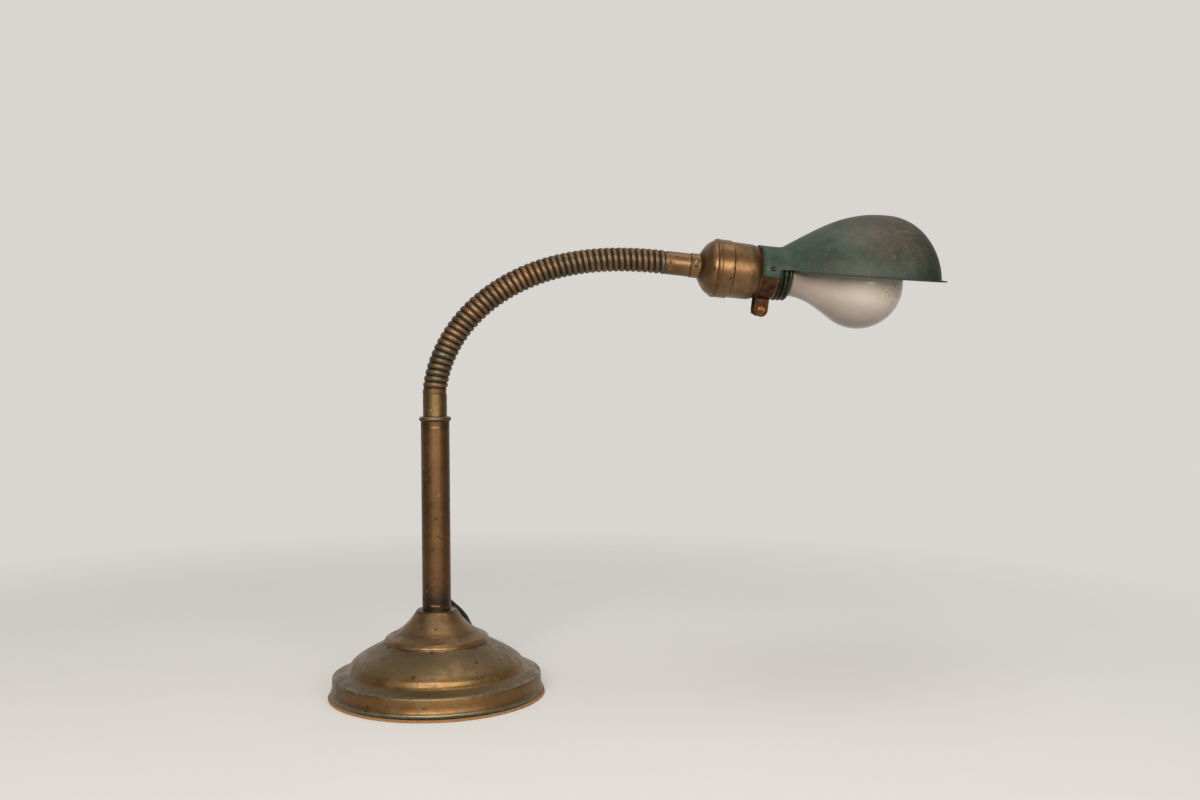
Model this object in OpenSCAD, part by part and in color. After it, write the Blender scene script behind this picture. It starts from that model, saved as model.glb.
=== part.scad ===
// Gooseneck desk lamp: spun base and post, interlocked flexible neck, brass key
// socket, frosted bulb and a half shade clamped to the neck of the socket.
// Millimetres. Origin on the table under the post, +Z up, the neck bends to +X.

/* [Base] */
// Diameter of the cork pad
pad_d = 140; // [130:1:150]
// Thickness of the cork pad
pad_t = 1.4; // [1:0.1:2.5]
// Thickness of the black felt ring on the pad
felt_t = 0.8; // [0.5:0.1:1.5]
// Height of the rim wall, from the felt to its top edge
rim_h = 11.7; // [9:0.1:16]
// Height of the dome, from the rim's top edge to the bead step
dome_h = 20.8; // [17:0.1:26]
// Height of the bell, from the bead step to the flat top
bell_h = 20.2; // [16:0.1:24]
// Diameter at the foot of the dome
dome_d = 113; // [104:1:118]
// Diameter of the bead step between dome and bell
step_d = 67; // [60:1:74]
// Diameter of the flat top under the post
crown_d = 26.6; // [24:0.1:32]
// Wall of the spun base
base_wall = 0.9; // [0.6:0.1:1.2]
// Diameter of the cast iron weight
weight_d = 118; // [100:1:122]
// Height of the cast iron weight
weight_h = 9; // [6:0.1:9.6]

/* [Post] */
// Outer diameter of the post tube
post_d = 18.5; // [16:0.1:22]
// Wall of the post tube
post_wall = 1; // [0.8:0.1:1.6]
// Length of the post tube
post_len = 122.4; // [90:0.1:160]
// Diameter of the rolled collar on top of the post
collar_d = 20.8; // [19:0.1:25]
// Height of the rolled collar
collar_h = 3.2; // [2.4:0.1:5]
// Height of the cord hole above the foot of the post
cord_hole_z = 7; // [6.8:0.1:12]
// Diameter of the threaded lamp pipe
pipe_d = 10; // [9.6:0.1:10.4]
// Bore of the lamp pipe
pipe_bore = 7; // [6.4:0.1:7.2]

/* [Neck] */
// Outer diameter of the flexible neck
neck_d = 15.9; // [15:0.1:17]
// Bore of the flexible neck
neck_bore = 7.4; // [7.2:0.1:7.6]
// Pitch of the winding
turn_pitch = 4; // [3.9:0.05:4.4]
// Diameter of the rounded outer wire
bead_d = 2.9; // [2.6:0.05:3]
// Lean of the neck where it leaves its ferrule, in degrees
neck_lean = 7; // [4:0.5:8]
// Bend radius at the foot of the neck
bend_r_low = 76; // [70:1:100]
// Bend radius at the tip of the neck
bend_r_high = 333; // [200:1:500]
// Outer diameter of both ferrules
ferrule_d = 15.5; // [15.4:0.1:16.4]
// Length of the lower ferrule
ferrule_low = 16.8; // [14:0.1:24]
// Length of the upper ferrule
ferrule_high = 18; // [14:0.1:26]

/* [Socket] */
// Diameter of the bead where the cap meets the shell
seam_d = 39.2; // [38:0.1:41]
// Diameter of the cap's hub
hub_d = 16.3; // [15.5:0.1:18]
// Length of the hub
hub_len = 6.6; // [5.6:0.1:8]
// Length of the domed cap, from the hub to the seam
cap_len = 11; // [9:0.1:14]
// Diameter of the raised band of the shell
band_d = 38.8; // [38:0.1:39.2]
// Length of the raised band
band_len = 9.4; // [6:0.1:12]
// Diameter of the shell's body
body_d = 37.4; // [36.6:0.1:37.8]
// Length from the seam to the shell's shoulder
body_len = 23; // [21:0.1:28]
// Diameter of the shell's neck
throat_d = 33.2; // [32.4:0.1:34]
// Length from the seam to the end of the shell's neck
throat_len = 41; // [40:0.1:44]
// Wall of the brass cap and shell
brass_wall = 0.7; // [0.5:0.05:0.9]
// Length of the dark ribbed mouth ring beyond the neck
mouth_len = 9.4; // [8:0.1:12]

/* [Bulb] */
// Diameter of the glass bulb
bulb_d = 61; // [58:0.5:62]
// Length of the bulb from its contact to its tip
bulb_len = 107; // [104:0.5:112]
// Outer diameter of the threaded bulb cap
bulb_cap_d = 25.8; // [25.4:0.1:26]
// Wall of the glass
glass_wall = 0.8; // [0.6:0.1:1.2]

/* [Shade] */
// Largest radius of the shade about the socket's axis
shade_r = 48.4; // [44:0.1:54]
// Length from the crease to the widest station
shade_rise = 71; // [64:0.5:78]
// Length from the widest station to the nose
shade_nose = 39.5; // [38:0.5:48]
// Thickness of the shade's sheet
sheet_t = 0.8; // [0.6:0.05:1]
// Width of the flange turned out round the rim
flange_w = 3.6; // [2:0.1:4.5]
// Height of the rim above the axis at the crease
rim_low = 4; // [2:0.1:6]
// Slope of the rim against the axis, in degrees
rim_slope = 2.7; // [1:0.1:4]
// Turn of the shade about the socket, in degrees
shade_turn = 6; // [0:1:12]
// Width of the clamp band
clamp_w = 9.2; // [8:0.1:10]
// Thickness of the clamp band
clamp_t = 1; // [0.8:0.05:1.2]
// Reach of the clamp ears from the axis
ear_reach = 28; // [26:0.5:32]
// Gap between the two ears
ear_gap = 8; // [5:0.5:9]

/* [Key] */
// Diameter of the key's shaft
key_shaft_d = 3.2; // [2.8:0.1:3.6]
// Width of the flat key
key_w = 13; // [10:0.5:16]
// Reach of the key beyond the shell
key_reach = 14; // [11:0.5:17]

/* [Cord] */
// Diameter of the cord
cord_d = 5; // [4.5:0.1:5.2]

/* [Hidden] */
$fn = 72;
// Clearances: fixed pieces face to face, free pieces, and a running fit
seat = 0.1;
free = 0.3;
running = 0.06;
eps = 0.01;

// Stations up the base
felt_z = pad_t;
shell_z = felt_z + felt_t;
rim_z = shell_z + rim_h;
step_z = rim_z + dome_h;
crown_z = step_z + bell_h;
post_top = crown_z + post_len;
cord_z = crown_z + cord_hole_z;
collar_z = post_top;
ferrule_z = collar_z + collar_h;
neck_z = ferrule_z + ferrule_low + 0.7;

// Neck: 48 turns, 3 to a link, one at the foot and two at the tip
links = 15;
turns_per_link = 3;
foot_turns = 1;
tip_turns = 2;
turns = foot_turns + links * turns_per_link + tip_turns;
neck_len = turns * turn_pitch;
bead_r = bead_d / 2;
bead_pitch_r = neck_d / 2 - bead_r;
bore_r = neck_bore / 2;
lead_d = cord_d;
lead_shift = bore_r - lead_d / 2 - free;
bend_low = 180 / PI / bend_r_low;
bend_high = 180 / PI / bend_r_high;

// Heading from vertical and place of the centreline, a length s along the neck
function heading(s) = neck_lean + bend_low * s + (bend_high - bend_low) * s * s / (2 * neck_len);
function walk(n) = n == 0 ? [[0, 0, neck_z]] :
    let (path = walk(n - 1), last = path[len(path) - 1], h = heading((n - 0.5) * turn_pitch / 2))
    concat(path, [last + turn_pitch / 2 * [sin(h), 0, cos(h)]]);
neck_path = walk(2 * turns);
neck_end = neck_path[2 * turns];
head_heading = heading(neck_len);

// Stations along the head's axis, from the end of the neck
ferrule_mouth = free - (turn_pitch - bead_d) / 2;
ferrule_end = ferrule_mouth + ferrule_high;
hub_end = ferrule_end + hub_len;
seam_a = hub_end + cap_len;
band_end = seam_a + band_len;
shoulder_a = seam_a + body_len;
throat_a = seam_a + throat_len;
mouth_a = throat_a + mouth_len;
key_a = seam_a + 16;
clamp_a = shoulder_a + 6.8;
crease_a = clamp_a + clamp_w + 7;
widest_a = crease_a + shade_rise;
nose_a = widest_a + shade_nose;
contact_a = shoulder_a + 1.4;
bulb_tip_a = contact_a + bulb_len;
bulb_centre_a = bulb_tip_a - bulb_d / 2;
bulb_cap_end = contact_a + 26;

seam_r = seam_d / 2;
band_r = band_d / 2;
body_r = body_d / 2;
throat_r = throat_d / 2;
clamp_r = throat_r + seat;
tab_r = clamp_r + clamp_t + seat;
screw_r = ear_reach - 3.6;
well_r = bulb_cap_d / 2 + 0.5;
core_r = throat_r - 1.4;

// Cord on the table: route chosen by hand, then a two-layer coil behind the base
cord_route = [
    [0, 12, 61.9], [0, 17.2, 61.9], [0.9, 22.7, 61.1], [3.6, 28.4, 58.5], [7.6, 33.2, 54.2],
    [12.3, 37.1, 49.2], [16.7, 40.7, 44.6], [20.2, 44.9, 39.6], [22.9, 50.2, 33.6],
    [25, 55.9, 27.2], [26.8, 61.9, 20.8], [28.9, 68.3, 14.6], [31.1, 75, 9.2], [33.6, 82.3, 5.2],
    [36.3, 90.4, 3], [38.4, 99, 2.5], [40.6, 106, 2.5], [41, 111.4, 2.5]
];
coil_x = 3.5;
coil_y = 111.4;
coil_r = 30;
coil_cols = 4;
coil_rows = 2;
tail_route = [
    [-34, 108, 7.5], [-33.6, 102, 9.2], [-31.4, 96, 11.5], [-27.8, 90.4, 14], [-22.8, 86.2, 15.8],
    [-17.6, 83.8, 16.5], [-14.6, 83.4, 16.6], [-12, 83.4, 16.6]
];
plug_at = [-12, 83.4, 16.6];

// Curves and thin spun walls ------------------------------------------------

// Points of a cubic curve through a and d, with handles b and c
function curve(a, b, c, d, n = 10) = [
    for (i = [0 : n])
        let (t = i / n, u = 1 - t)
        u * u * u * a + 3 * u * u * t * b + 3 * u * t * t * c + t * t * t * d
];

// Unit normal to the right of a step
function side(a, b) = let (d = b - a) [d[1], -d[0]] / norm(d);

// The same line moved sideways by w, mitred at its corners
function inset(line, w) = [
    for (i = [0 : len(line) - 1])
        let (
            before = side(line[max(i - 1, 0)], line[max(i, 1)]),
            after = side(line[min(i, len(line) - 2)], line[min(i + 1, len(line) - 1)]),
            mean = (before + after) / norm(before + after)
        )
        line[i] - w / max(mean * before, 0.6) * mean
];

function reversed(list) = [for (i = [len(list) - 1 : -1 : 0]) list[i]];

// A spun sheet: the outer line (radius, height) and a wall inside it
module spun(line, wall) {
    rotate_extrude() polygon(concat(line, reversed(inset(line, wall))));
}

// A tube between two heights
module pipe(outer_d, bore, h) {
    difference() {
        cylinder(d = outer_d, h = h);
        translate([0, 0, -eps]) cylinder(d = bore, h = h + 2 * eps);
    }
}

// Places children at station a of the head: +Z along its axis, +X to its top
module at_head(a = 0) {
    translate(neck_end) rotate([0, head_heading, 0]) rotate([0, 0, 180]) translate([0, 0, a])
        children();
}

// The same, turned about the axis with the shade
module at_shade(a = 0) {
    at_head(a) rotate([0, 0, shade_turn]) children();
}

// Base ----------------------------------------------------------------------

dome_r = dome_d / 2;
step_r = step_d / 2;
crown_r = crown_d / 2;
wall_r = pad_d / 2 - 2.6;
dome_foot_z = rim_z + 2.9;

dome_line = concat(
    [[wall_r - 0.4, shell_z], [wall_r + 0.8, shell_z + 0.2], [wall_r + 1.2, shell_z + 1.1],
     [wall_r + 0.8, shell_z + 2.1], [wall_r + 0.2, shell_z + 2.6], [wall_r - 0.1, rim_z - 0.9],
     [wall_r - 0.4, rim_z - 0.2], [wall_r - 1.1, rim_z]],
    curve([dome_r + 2.6, dome_foot_z - 0.8], [dome_r + 1, dome_foot_z - 0.4],
          [dome_r + 0.1, dome_foot_z + 0.7], [dome_r - 0.3, dome_foot_z + 2.4], 4),
    curve([dome_r - 0.9, dome_foot_z + 4.6], [dome_r - 3.6, dome_foot_z + 9.6],
          [step_r + 7, step_z - 4.2], [step_r + 0.4, step_z], 8)
);
// The bell starts with a rounded lip that stands on the dome
bell_line = concat(
    curve([step_r + 0.5, step_z + 0.5], [step_r + 0.3, step_z + 2.2],
          [step_r - 1.3, step_z + 3.3], [step_r - 3, step_z + 4], 4),
    curve([step_r - 4.2, step_z + 4.4], [step_r - 9, step_z + 6.2],
          [crown_r + 4.7, crown_z - 8.5], [crown_r, crown_z - 0.8], 10),
    [[crown_r - 0.7, crown_z], [pipe_d / 2 + seat, crown_z]]
);

module base_shell() {
    color("#8a6a3c") spun(concat(dome_line, bell_line), base_wall);
}

module base_weight() {
    weight_r = weight_d / 2;
    color("#3b3a38") translate([0, 0, shell_z]) difference() {
        rotate_extrude() polygon([
            [pipe_d / 2 + seat, 0], [weight_r, 0], [weight_r, weight_h - 1.5],
            [weight_r - 1.5, weight_h], [weight_r * 0.72, weight_h + 4.2],
            [weight_r * 0.45, weight_h + 9], [pipe_d / 2 + seat, weight_h + 9]
        ]);
        translate([0, 0, -eps]) cylinder(d = 24, h = 4.5);
    }
}

module cork_pad() {
    color("#c48a4e") cylinder(d = pad_d, h = pad_t);
}

module felt_ring() {
    color("#17140f") translate([0, 0, felt_z])
        pipe(pad_d - 3.4, pad_d - 26, felt_t);
}

// Threaded lamp pipe that clamps weight, shell and post together
pipe_foot_z = shell_z + 0.6;
plug_h = 5;
module base_pipe() {
    color("#9a8a5a") translate([0, 0, pipe_foot_z])
        pipe(pipe_d, pipe_bore, crown_z + plug_h - pipe_foot_z);
}

washer_z = shell_z + 3;
module base_washer() {
    color("#77746c") translate([0, 0, washer_z + 0.1]) pipe(20, pipe_d + 2 * seat, 1.3);
}

module base_nut() {
    color("#8d7b4c") translate([0, 0, shell_z + 0.2]) difference() {
        cylinder(d = 16, h = washer_z - shell_z - 0.2, $fn = 6);
        translate([0, 0, -eps]) cylinder(d = pipe_d + 2 * seat, h = 6);
    }
}

// Post ----------------------------------------------------------------------

tube_bore = post_d - 2 * post_wall;
cord_hole_d = cord_d + 2.6;

module post_tube() {
    color("#94703f") difference() {
        translate([0, 0, crown_z]) pipe(post_d, tube_bore, post_len);
        translate([0, 0, cord_z]) rotate([-90, 0, 0]) cylinder(d = cord_hole_d, h = post_d);
    }
}

module post_foot_plug() {
    color("#9a8a5a") translate([0, 0, crown_z + eps])
        pipe(tube_bore - 2 * seat, pipe_d + 2 * seat, plug_h - 1.8);
}

// Rolled collar with a spigot in the tube and a bore for the ferrule's pipe
spigot_h = 9;
module post_collar() {
    collar_r = collar_d / 2;
    bore = pipe_d / 2 + seat;
    color("#8f6b3b") rotate_extrude() polygon(concat(
        [[bore, collar_z - spigot_h], [tube_bore / 2 - seat, collar_z - spigot_h],
         [tube_bore / 2 - seat, collar_z]],
        [for (i = [0 : 8])
            let (t = -90 + i * 180 / 8)
            [collar_r - collar_h / 2 + collar_h / 2 * cos(t),
             collar_z + collar_h / 2 + collar_h / 2 * sin(t)]],
        [[bore, collar_z + collar_h]]
    ));
}

// Bushing where the cord leaves the back of the post
bushing_end = post_d / 2 + 2.7;
module cord_bushing() {
    bore = cord_d / 2 + seat;
    inner_y = post_d / 2 - 2.4;
    stem_r = cord_hole_d / 2 - seat;
    color("#1b1a19") difference() {
        translate([0, 0, cord_z]) rotate([-90, 0, 0]) rotate_extrude() polygon([
            [bore, inner_y], [stem_r, inner_y], [stem_r, post_d / 2 - 1],
            [stem_r + 1.3, post_d / 2 - 1], [stem_r + 1.1, bushing_end - 1],
            [stem_r + 0.5, bushing_end - 0.5], [bore + 0.9, bushing_end], [bore, bushing_end]
        ]);
        // The flange is hollowed to sit on the round post
        difference() {
            translate([0, 0, cord_z - 8]) cylinder(d = post_d + 2 * seat, h = 16);
            translate([0, 0, cord_z]) rotate([-90, 0, 0])
                cylinder(d = cord_hole_d - 2 * seat, h = post_d);
        }
    }
}

// Lead from the bushing, up the post and the ferrule to the first turn
module post_lead() {
    elbow_r = 4;
    top_z = neck_z - free;
    color("#1b1a19") {
        translate([0, elbow_r, cord_z]) rotate([-90, 0, 0])
            cylinder(d = cord_d, h = bushing_end - elbow_r);
        translate([0, elbow_r, cord_z + elbow_r]) rotate([0, 90, 0]) rotate_extrude(angle = -90)
            translate([elbow_r, 0]) circle(d = cord_d);
        translate([0, 0, cord_z + elbow_r]) cylinder(d = cord_d, h = top_z - cord_z - elbow_r);
        neck_lead(0, foot_turns);
    }
}

// Ferrules: mouth at z = 0, closed end with a pipe beyond ---------------------

ferrule_bore = ferrule_d - 2.1;
ferrule_seat = 12.2;

module ferrule(length, pipe_len) {
    r = ferrule_d / 2;
    rotate_extrude() polygon([
        [ferrule_bore / 2, 0], [r - 0.5, 0], [r - 0.3, 0.3], [r - 0.5, 1.2], [r - 0.25, 1.8],
        [r, 2.4], [r, length - 0.3], [r - 0.3, length], [pipe_d / 2, length],
        [pipe_d / 2, length + pipe_len], [pipe_bore / 2, length + pipe_len],
        [pipe_bore / 2, ferrule_seat + 1], [ferrule_bore / 2, ferrule_seat + 1]
    ]);
}

module lower_ferrule() {
    color("#a07a44") translate([0, 0, ferrule_z + ferrule_low]) rotate([180, 0, 0])
        ferrule(ferrule_low, 6);
}

module upper_ferrule() {
    color("#b08848") at_head(ferrule_mouth)
        ferrule(ferrule_high, hub_len + hub_skirt);
}

// Interlocked winding --------------------------------------------------------

// Each turn is a rounded outer wire on a hooked strip. The strip's tongue
// reaches forward under the skirt of the next turn, so the turns stay hooked
// together while the gap between them opens on one side and closes on the other.
skirt_r = bore_r + 1.1;
tongue_r = bore_r + 0.7;
hook_back = 0.45;
hook_front = 1.15;
hook_slack = 0.85;
tongue_end = turn_pitch + hook_back - hook_slack;

module turn_profile(has_tongue = true) {
    translate([bead_pitch_r, 0]) circle(r = bead_r, $fn = 32);
    translate([skirt_r, -hook_front]) square([bead_pitch_r - skirt_r, 2 * hook_front]);
    translate([bore_r, hook_back]) square([bead_pitch_r - bore_r, hook_front - hook_back]);
    if (has_tongue)
        translate([bore_r, hook_back]) square([tongue_r - bore_r, tongue_end - hook_back]);
}

// Place n half turns up the neck
module at_neck(n, h) {
    translate(neck_path[n]) rotate([0, h, 0]) children();
}

module turn_ring(i, has_tongue = true) {
    at_neck(2 * i + 1, heading((i + 0.5) * turn_pitch))
        rotate_extrude() turn_profile(has_tongue);
}

// Lead between turns i and j, bent to the mean radius of that stretch
module neck_lead(i, j) {
    h0 = heading(i * turn_pitch);
    sweep = heading(j * turn_pitch) - h0;
    radius = (j - i) * turn_pitch * 180 / PI / sweep;
    trim = free / radius * 180 / PI * 1.2;
    at_neck(2 * i, h0) translate([radius, 0, 0]) rotate([90, 0, 0])
        rotate([0, 0, 180 - sweep + trim]) rotate_extrude(angle = sweep - 2 * trim)
            translate([radius - lead_shift, 0]) circle(d = lead_d);
}

// Plain sleeve of the hose end, held inside a ferrule
module hose_end(length) {
    pipe(ferrule_bore - 2 * seat, neck_bore, length);
}

module neck_foot() {
    color("#8a6838") {
        turn_ring(0);
        translate([0, 0, ferrule_z + ferrule_low - ferrule_seat]) hose_end(ferrule_seat + seat);
    }
}

module neck_link(k) {
    first = foot_turns + (k - 1) * turns_per_link;
    color("#8a6838") {
        for (i = [0 : turns_per_link - 1]) turn_ring(first + i);
        neck_lead(first, first + turns_per_link);
    }
}

module neck_tip() {
    color("#8a6838") {
        turn_ring(turns - 2);
        turn_ring(turns - 1, false);
        at_head(ferrule_mouth) hose_end(ferrule_seat);
    }
}

// Socket ---------------------------------------------------------------------

module cap_bushing() {
    color("#a8915a") at_head() difference() {
        rotate_extrude() polygon([
            [pipe_d / 2 + seat, ferrule_end], [hub_d / 2 - 0.4, ferrule_end],
            [hub_d / 2, ferrule_end + 0.5], [hub_d / 2, hub_end - 0.3], [hub_d / 2 - 0.3, hub_end],
            [hub_d / 2 - 1.1, hub_end], [hub_d / 2 - 1.1, hub_end + hub_skirt],
            [pipe_d / 2 + seat, hub_end + hub_skirt]
        ]);
        rotate([0, 0, set_turn]) translate([0, 0, set_a]) rotate([0, 90, 0])
            cylinder(d = set_d, h = hub_d);
    }
}

// Slotted set screw in the hub, facing the front
hub_skirt = 2.4;
set_a = ferrule_end + hub_len / 2;
set_d = 2.8;
set_head = 5;
set_turn = 84;
module cap_screw() {
    head_z = hub_d / 2;
    color("#c9c2ac") at_head(set_a) rotate([0, 0, set_turn]) rotate([0, 90, 0]) {
        translate([0, 0, pipe_d / 2 + seat]) cylinder(d = set_d - 2 * seat, h = head_z - pipe_d / 2);
        difference() {
            translate([0, 0, head_z + seat]) rotate_extrude() polygon([
                [0, 0], [set_head / 2, 0], [set_head / 2, 0.6], [set_head / 2 - 0.5, 1.1], [0, 1.2]
            ]);
            rotate([0, 0, 35]) translate([-3, -0.35, head_z + 0.7]) cube([6, 0.7, 1]);
        }
    }
}

cap_line = concat(
    [[hub_d / 2 - 1, hub_end], [hub_d / 2 + 0.5, hub_end]],
    curve([hub_d / 2 + 0.9, hub_end + 0.4], [hub_d / 2 + 4, hub_end + 2.6],
          [band_r - 2.6, seam_a - 6.6], [band_r - 1.2, seam_a - 1.9], 9),
    [[seam_r - 0.4, seam_a - 1.3], [seam_r, seam_a - 0.6], [seam_r, seam_a]]
);
module socket_cap() {
    color("#b08a4a") at_head() spun(cap_line, brass_wall);
}

shell_line = concat(
    [[seam_r, seam_a + eps], [seam_r, seam_a + 0.8], [band_r, seam_a + 1.5],
     [band_r, band_end - 0.7], [body_r + 0.3, band_end - 0.2], [body_r, band_end + 0.3]],
    curve([body_r - 0.2, shoulder_a], [body_r - 0.3, shoulder_a + 2.6],
          [throat_r + 0.8, shoulder_a + 4], [throat_r, shoulder_a + 5.6], 7),
    [[throat_r, throat_a]]
);
module socket_shell() {
    color("#b78f4c") at_head() difference() {
        spun(shell_line, brass_wall);
        translate([0, 0, key_a]) rotate([0, 90, -90]) cylinder(d = key_shaft_d + 2 * free, h = 30);
    }
}

// Insulating paper tube inside the shell
liner_r = body_r - brass_wall - 0.5;
liner_t = 0.6;
module shell_liner() {
    color("#8f7a5c") at_head() difference() {
        translate([0, 0, seam_a + 0.5])
            pipe(2 * liner_r, 2 * (liner_r - liner_t), shoulder_a - 1.5 - seam_a);
        translate([0, 0, key_a]) rotate([0, 90, -90]) cylinder(d = key_shaft_d + 2 * free, h = 30);
    }
}

// Moulded core: carries the key's shaft, the terminals and the screw shell
core_back = seam_a + 3;
core_front = shoulder_a - 1;
core_d = 2 * (liner_r - liner_t - 0.1);
cam_pocket = 9;
cam_w = 5.2;
cam_y = 4.6;
module socket_core() {
    color("#d8d2c0") at_head() difference() {
        translate([0, 0, core_back]) cylinder(d = core_d, h = core_front - core_back);
        translate([0, 0, key_a]) rotate([0, 90, -90])
            cylinder(d = key_shaft_d + 2 * running, h = 30);
        // Pocket for the key's cam, open to the back
        translate([0, cam_y, key_a]) rotate([90, 0, 0]) cylinder(d = cam_pocket, h = cam_w);
        translate([-cam_pocket / 2, cam_y - cam_w, core_back - 1])
            cube([cam_pocket, cam_w, key_a - core_back + 1]);
        for (s = [-1, 1]) translate([0, s * 10, core_back - eps]) cylinder(d = 3, h = 4);
    }
}

// Threaded shell that takes the bulb's cap
module screw_shell() {
    color("#c7b27a") at_head() difference() {
        translate([0, 0, core_front]) cylinder(r = well_r + 0.5, h = mouth_a - 3 - core_front);
        translate([0, 0, core_front + 0.6]) cylinder(r = well_r, h = 60);
        translate([0, 0, core_front - 1]) cylinder(d = 10, h = 3);
    }
}

// Centre contact: a bent tongue riveted to the core under the bulb's tip
module centre_contact() {
    color("#c49a55") at_head() {
        translate([-4, -2, core_front]) cube([8, 4, 0.5]);
        translate([0, 0, core_front + 0.5]) cylinder(d1 = 5, d2 = 3.6, h = contact_a - core_front - 1);
    }
}

module terminal_screws() {
    color("#bfa05c") at_head(core_back) for (s = [-1, 1]) translate([0, s * 10, 0]) {
        translate([0, 0, -2]) difference() {
            cylinder(d = 6, h = 1.9);
            translate([-4, -0.4, -eps]) cube([8, 0.8, 0.8]);
        }
        translate([0, 0, -0.2]) cylinder(d = 2.8, h = 3.8);
    }
}

// The two leads between the neck and the terminals
module socket_leads() {
    start = free;
    split = hub_end + 3.4;
    color("#1b1a19") at_head() {
        translate([0, 0, start]) cylinder(d = lead_d, h = split - start);
        for (s = [-1, 1]) translate([0, s * 1.2, split - 0.5])
            rotate([-s * atan2(6.4, core_back - 1.6 - split), 0, 0])
                cylinder(d = 2, h = norm([6.4, core_back - 1.6 - split]));
    }
    color("#1b1a19") neck_lead(turns - tip_turns, turns);
}

// Dark ring with three rounded ribs round the socket's mouth
rib_n = 3;
rib_pitch = mouth_len / rib_n;
mouth_line = concat(
    [[well_r + 0.6, throat_a - 5], [throat_r - brass_wall - seat, throat_a - 5],
     [throat_r - brass_wall - seat, throat_a + eps]],
    [for (k = [0 : rib_n - 1]) for (i = [0 : 5])
        let (t = i / 6 * 180)
        [throat_r - 0.9 - 0.25 * k + 1.5 * sin(t), throat_a + eps + (k + i / 6) * rib_pitch]],
    [[throat_r - 1.6, mouth_a], [well_r + 1.1, mouth_a], [well_r + 0.6, mouth_a - 1]]
);
module mouth_ring() {
    color("#2a241c") at_head() rotate_extrude() polygon(mouth_line);
}

// Key on the back of the socket: shaft with its cam, and the flat key
key_out = band_r + 1.4;
module key_shaft() {
    color("#b99b58") at_head(key_a) rotate([0, 90, -90]) {
        cylinder(d = key_shaft_d, h = key_out);
        translate([0, 0, free - cam_y]) intersection() {
            cylinder(d = cam_pocket - 2 * free, h = cam_w - 2 * free);
            translate([-5, -1.8, 0]) cube([10, 3.6, cam_w]);
        }
    }
}

module turn_key() {
    blade_t = 2.4;
    color("#2b2520") at_head(key_a) rotate([0, 90, -90]) translate([0, 0, key_out]) difference() {
        union() {
            cylinder(d = key_shaft_d + 3, h = 5);
            translate([0, blade_t / 2, key_reach - key_w / 2]) rotate([90, 0, 0])
                cylinder(d = key_w, h = blade_t);
        }
        translate([0, 5, key_reach - key_w * 0.4]) rotate([90, 0, 0]) cylinder(d = 3, h = 10);
    }
}

// Bulb -----------------------------------------------------------------------

// The bulb's solder contact runs straight out while the bulb turns on it
module bulb_contact() {
    color("#b9b4a8") at_head(contact_a) rotate_extrude() polygon([
        [0, 0], [2.2, 0.1], [3.6, 0.6], [4.2, 1.2], [4.2, 1.5], [0, 1.5]
    ]);
}

bulb_r = bulb_d / 2;
glass_neck_r = bulb_cap_d / 2 + 0.35;
flank = 60;
bulb_line = concat(
    [[glass_neck_r - 1.2, bulb_cap_end - 6], [glass_neck_r - 1.2, bulb_cap_end],
     [glass_neck_r - 0.5, bulb_cap_end + 0.5]],
    curve([glass_neck_r, bulb_cap_end + 2], [glass_neck_r, bulb_cap_end + 14],
          [bulb_r * sin(flank) - 7, bulb_centre_a - bulb_r * cos(flank) - 12],
          [bulb_r * sin(flank), bulb_centre_a - bulb_r * cos(flank)], 9),
    [for (i = [1 : 11])
        let (t = flank + i * (180 - flank) / 12)
        [bulb_r * sin(t), bulb_centre_a - bulb_r * cos(t)]]
);
module bulb_glass() {
    color("#d8d3c8") at_head() rotate_extrude() polygon(concat(
        bulb_line, [[0, bulb_tip_a], [0, bulb_tip_a - glass_wall]],
        reversed(inset(bulb_line, glass_wall))
    ));
}

module bulb_cap() {
    r = bulb_cap_d / 2;
    color("#b5b2aa") at_head() rotate_extrude() polygon([
        [r - 2.4, contact_a + 2.6], [r - 1.2, contact_a + 2.6], [r, contact_a + 4.4],
        [r, bulb_cap_end - 0.6], [r - 0.3, bulb_cap_end - 0.1], [r - 0.75, bulb_cap_end - 0.1],
        [r - 0.75, contact_a + 4.8], [r - 2.4, contact_a + 3.2]
    ]);
}

module bulb_insulator() {
    color("#16161a") at_head() rotate_extrude() polygon([
        [0, contact_a + 1.6], [4.4, contact_a + 1.6], [bulb_cap_d / 2 - 2.5, contact_a + 2.7],
        [bulb_cap_d / 2 - 2.5, contact_a + 5], [0, contact_a + 5]
    ]);
}

// Glass stem with its two support wires and the coiled filament
module bulb_stem() {
    stem_top = bulb_centre_a - 14;
    color("#a9a59c") at_head() {
        translate([0, 0, contact_a + 5.1]) cylinder(d1 = 14, d2 = 6, h = stem_top - contact_a - 5.1);
        for (s = [-1, 1]) {
            translate([0, s * 2, stem_top]) rotate([-s * 35, 0, 0]) cylinder(d = 0.8, h = 17);
            translate([0, s * 2, stem_top]) cylinder(d = 1.4, h = 3);
        }
        translate([0, 0, stem_top + 13.9]) rotate([90, 0, 0])
            translate([0, 0, -11.7]) cylinder(d = 0.9, h = 23.4);
    }
}

// Shade ----------------------------------------------------------------------

crease_r = tab_r + sheet_t + 0.9;
bowl_line = concat(
    curve([crease_r, crease_a], [crease_r + 20, crease_a + 30],
          [shade_r, widest_a - 26], [shade_r, widest_a], 14),
    [for (i = [1 : 13])
        let (t = 90 - i * 90 / 14)
        [shade_r * sin(t), widest_a + shade_nose * cos(t)]],
    [[0.6, nose_a]]
);
throat_line = [[tab_r + sheet_t, clamp_a - 1], [tab_r + sheet_t + 0.1, clamp_a + clamp_w + 1]];
shade_line = concat(throat_line, bowl_line);

// Everything below the plane of the rim
module below_rim(up = 0) {
    translate([rim_low + up, 0, crease_a]) rotate([0, rim_slope, 0])
        translate([-200, -100, -80]) cube([200, 200, 260]);
}

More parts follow.
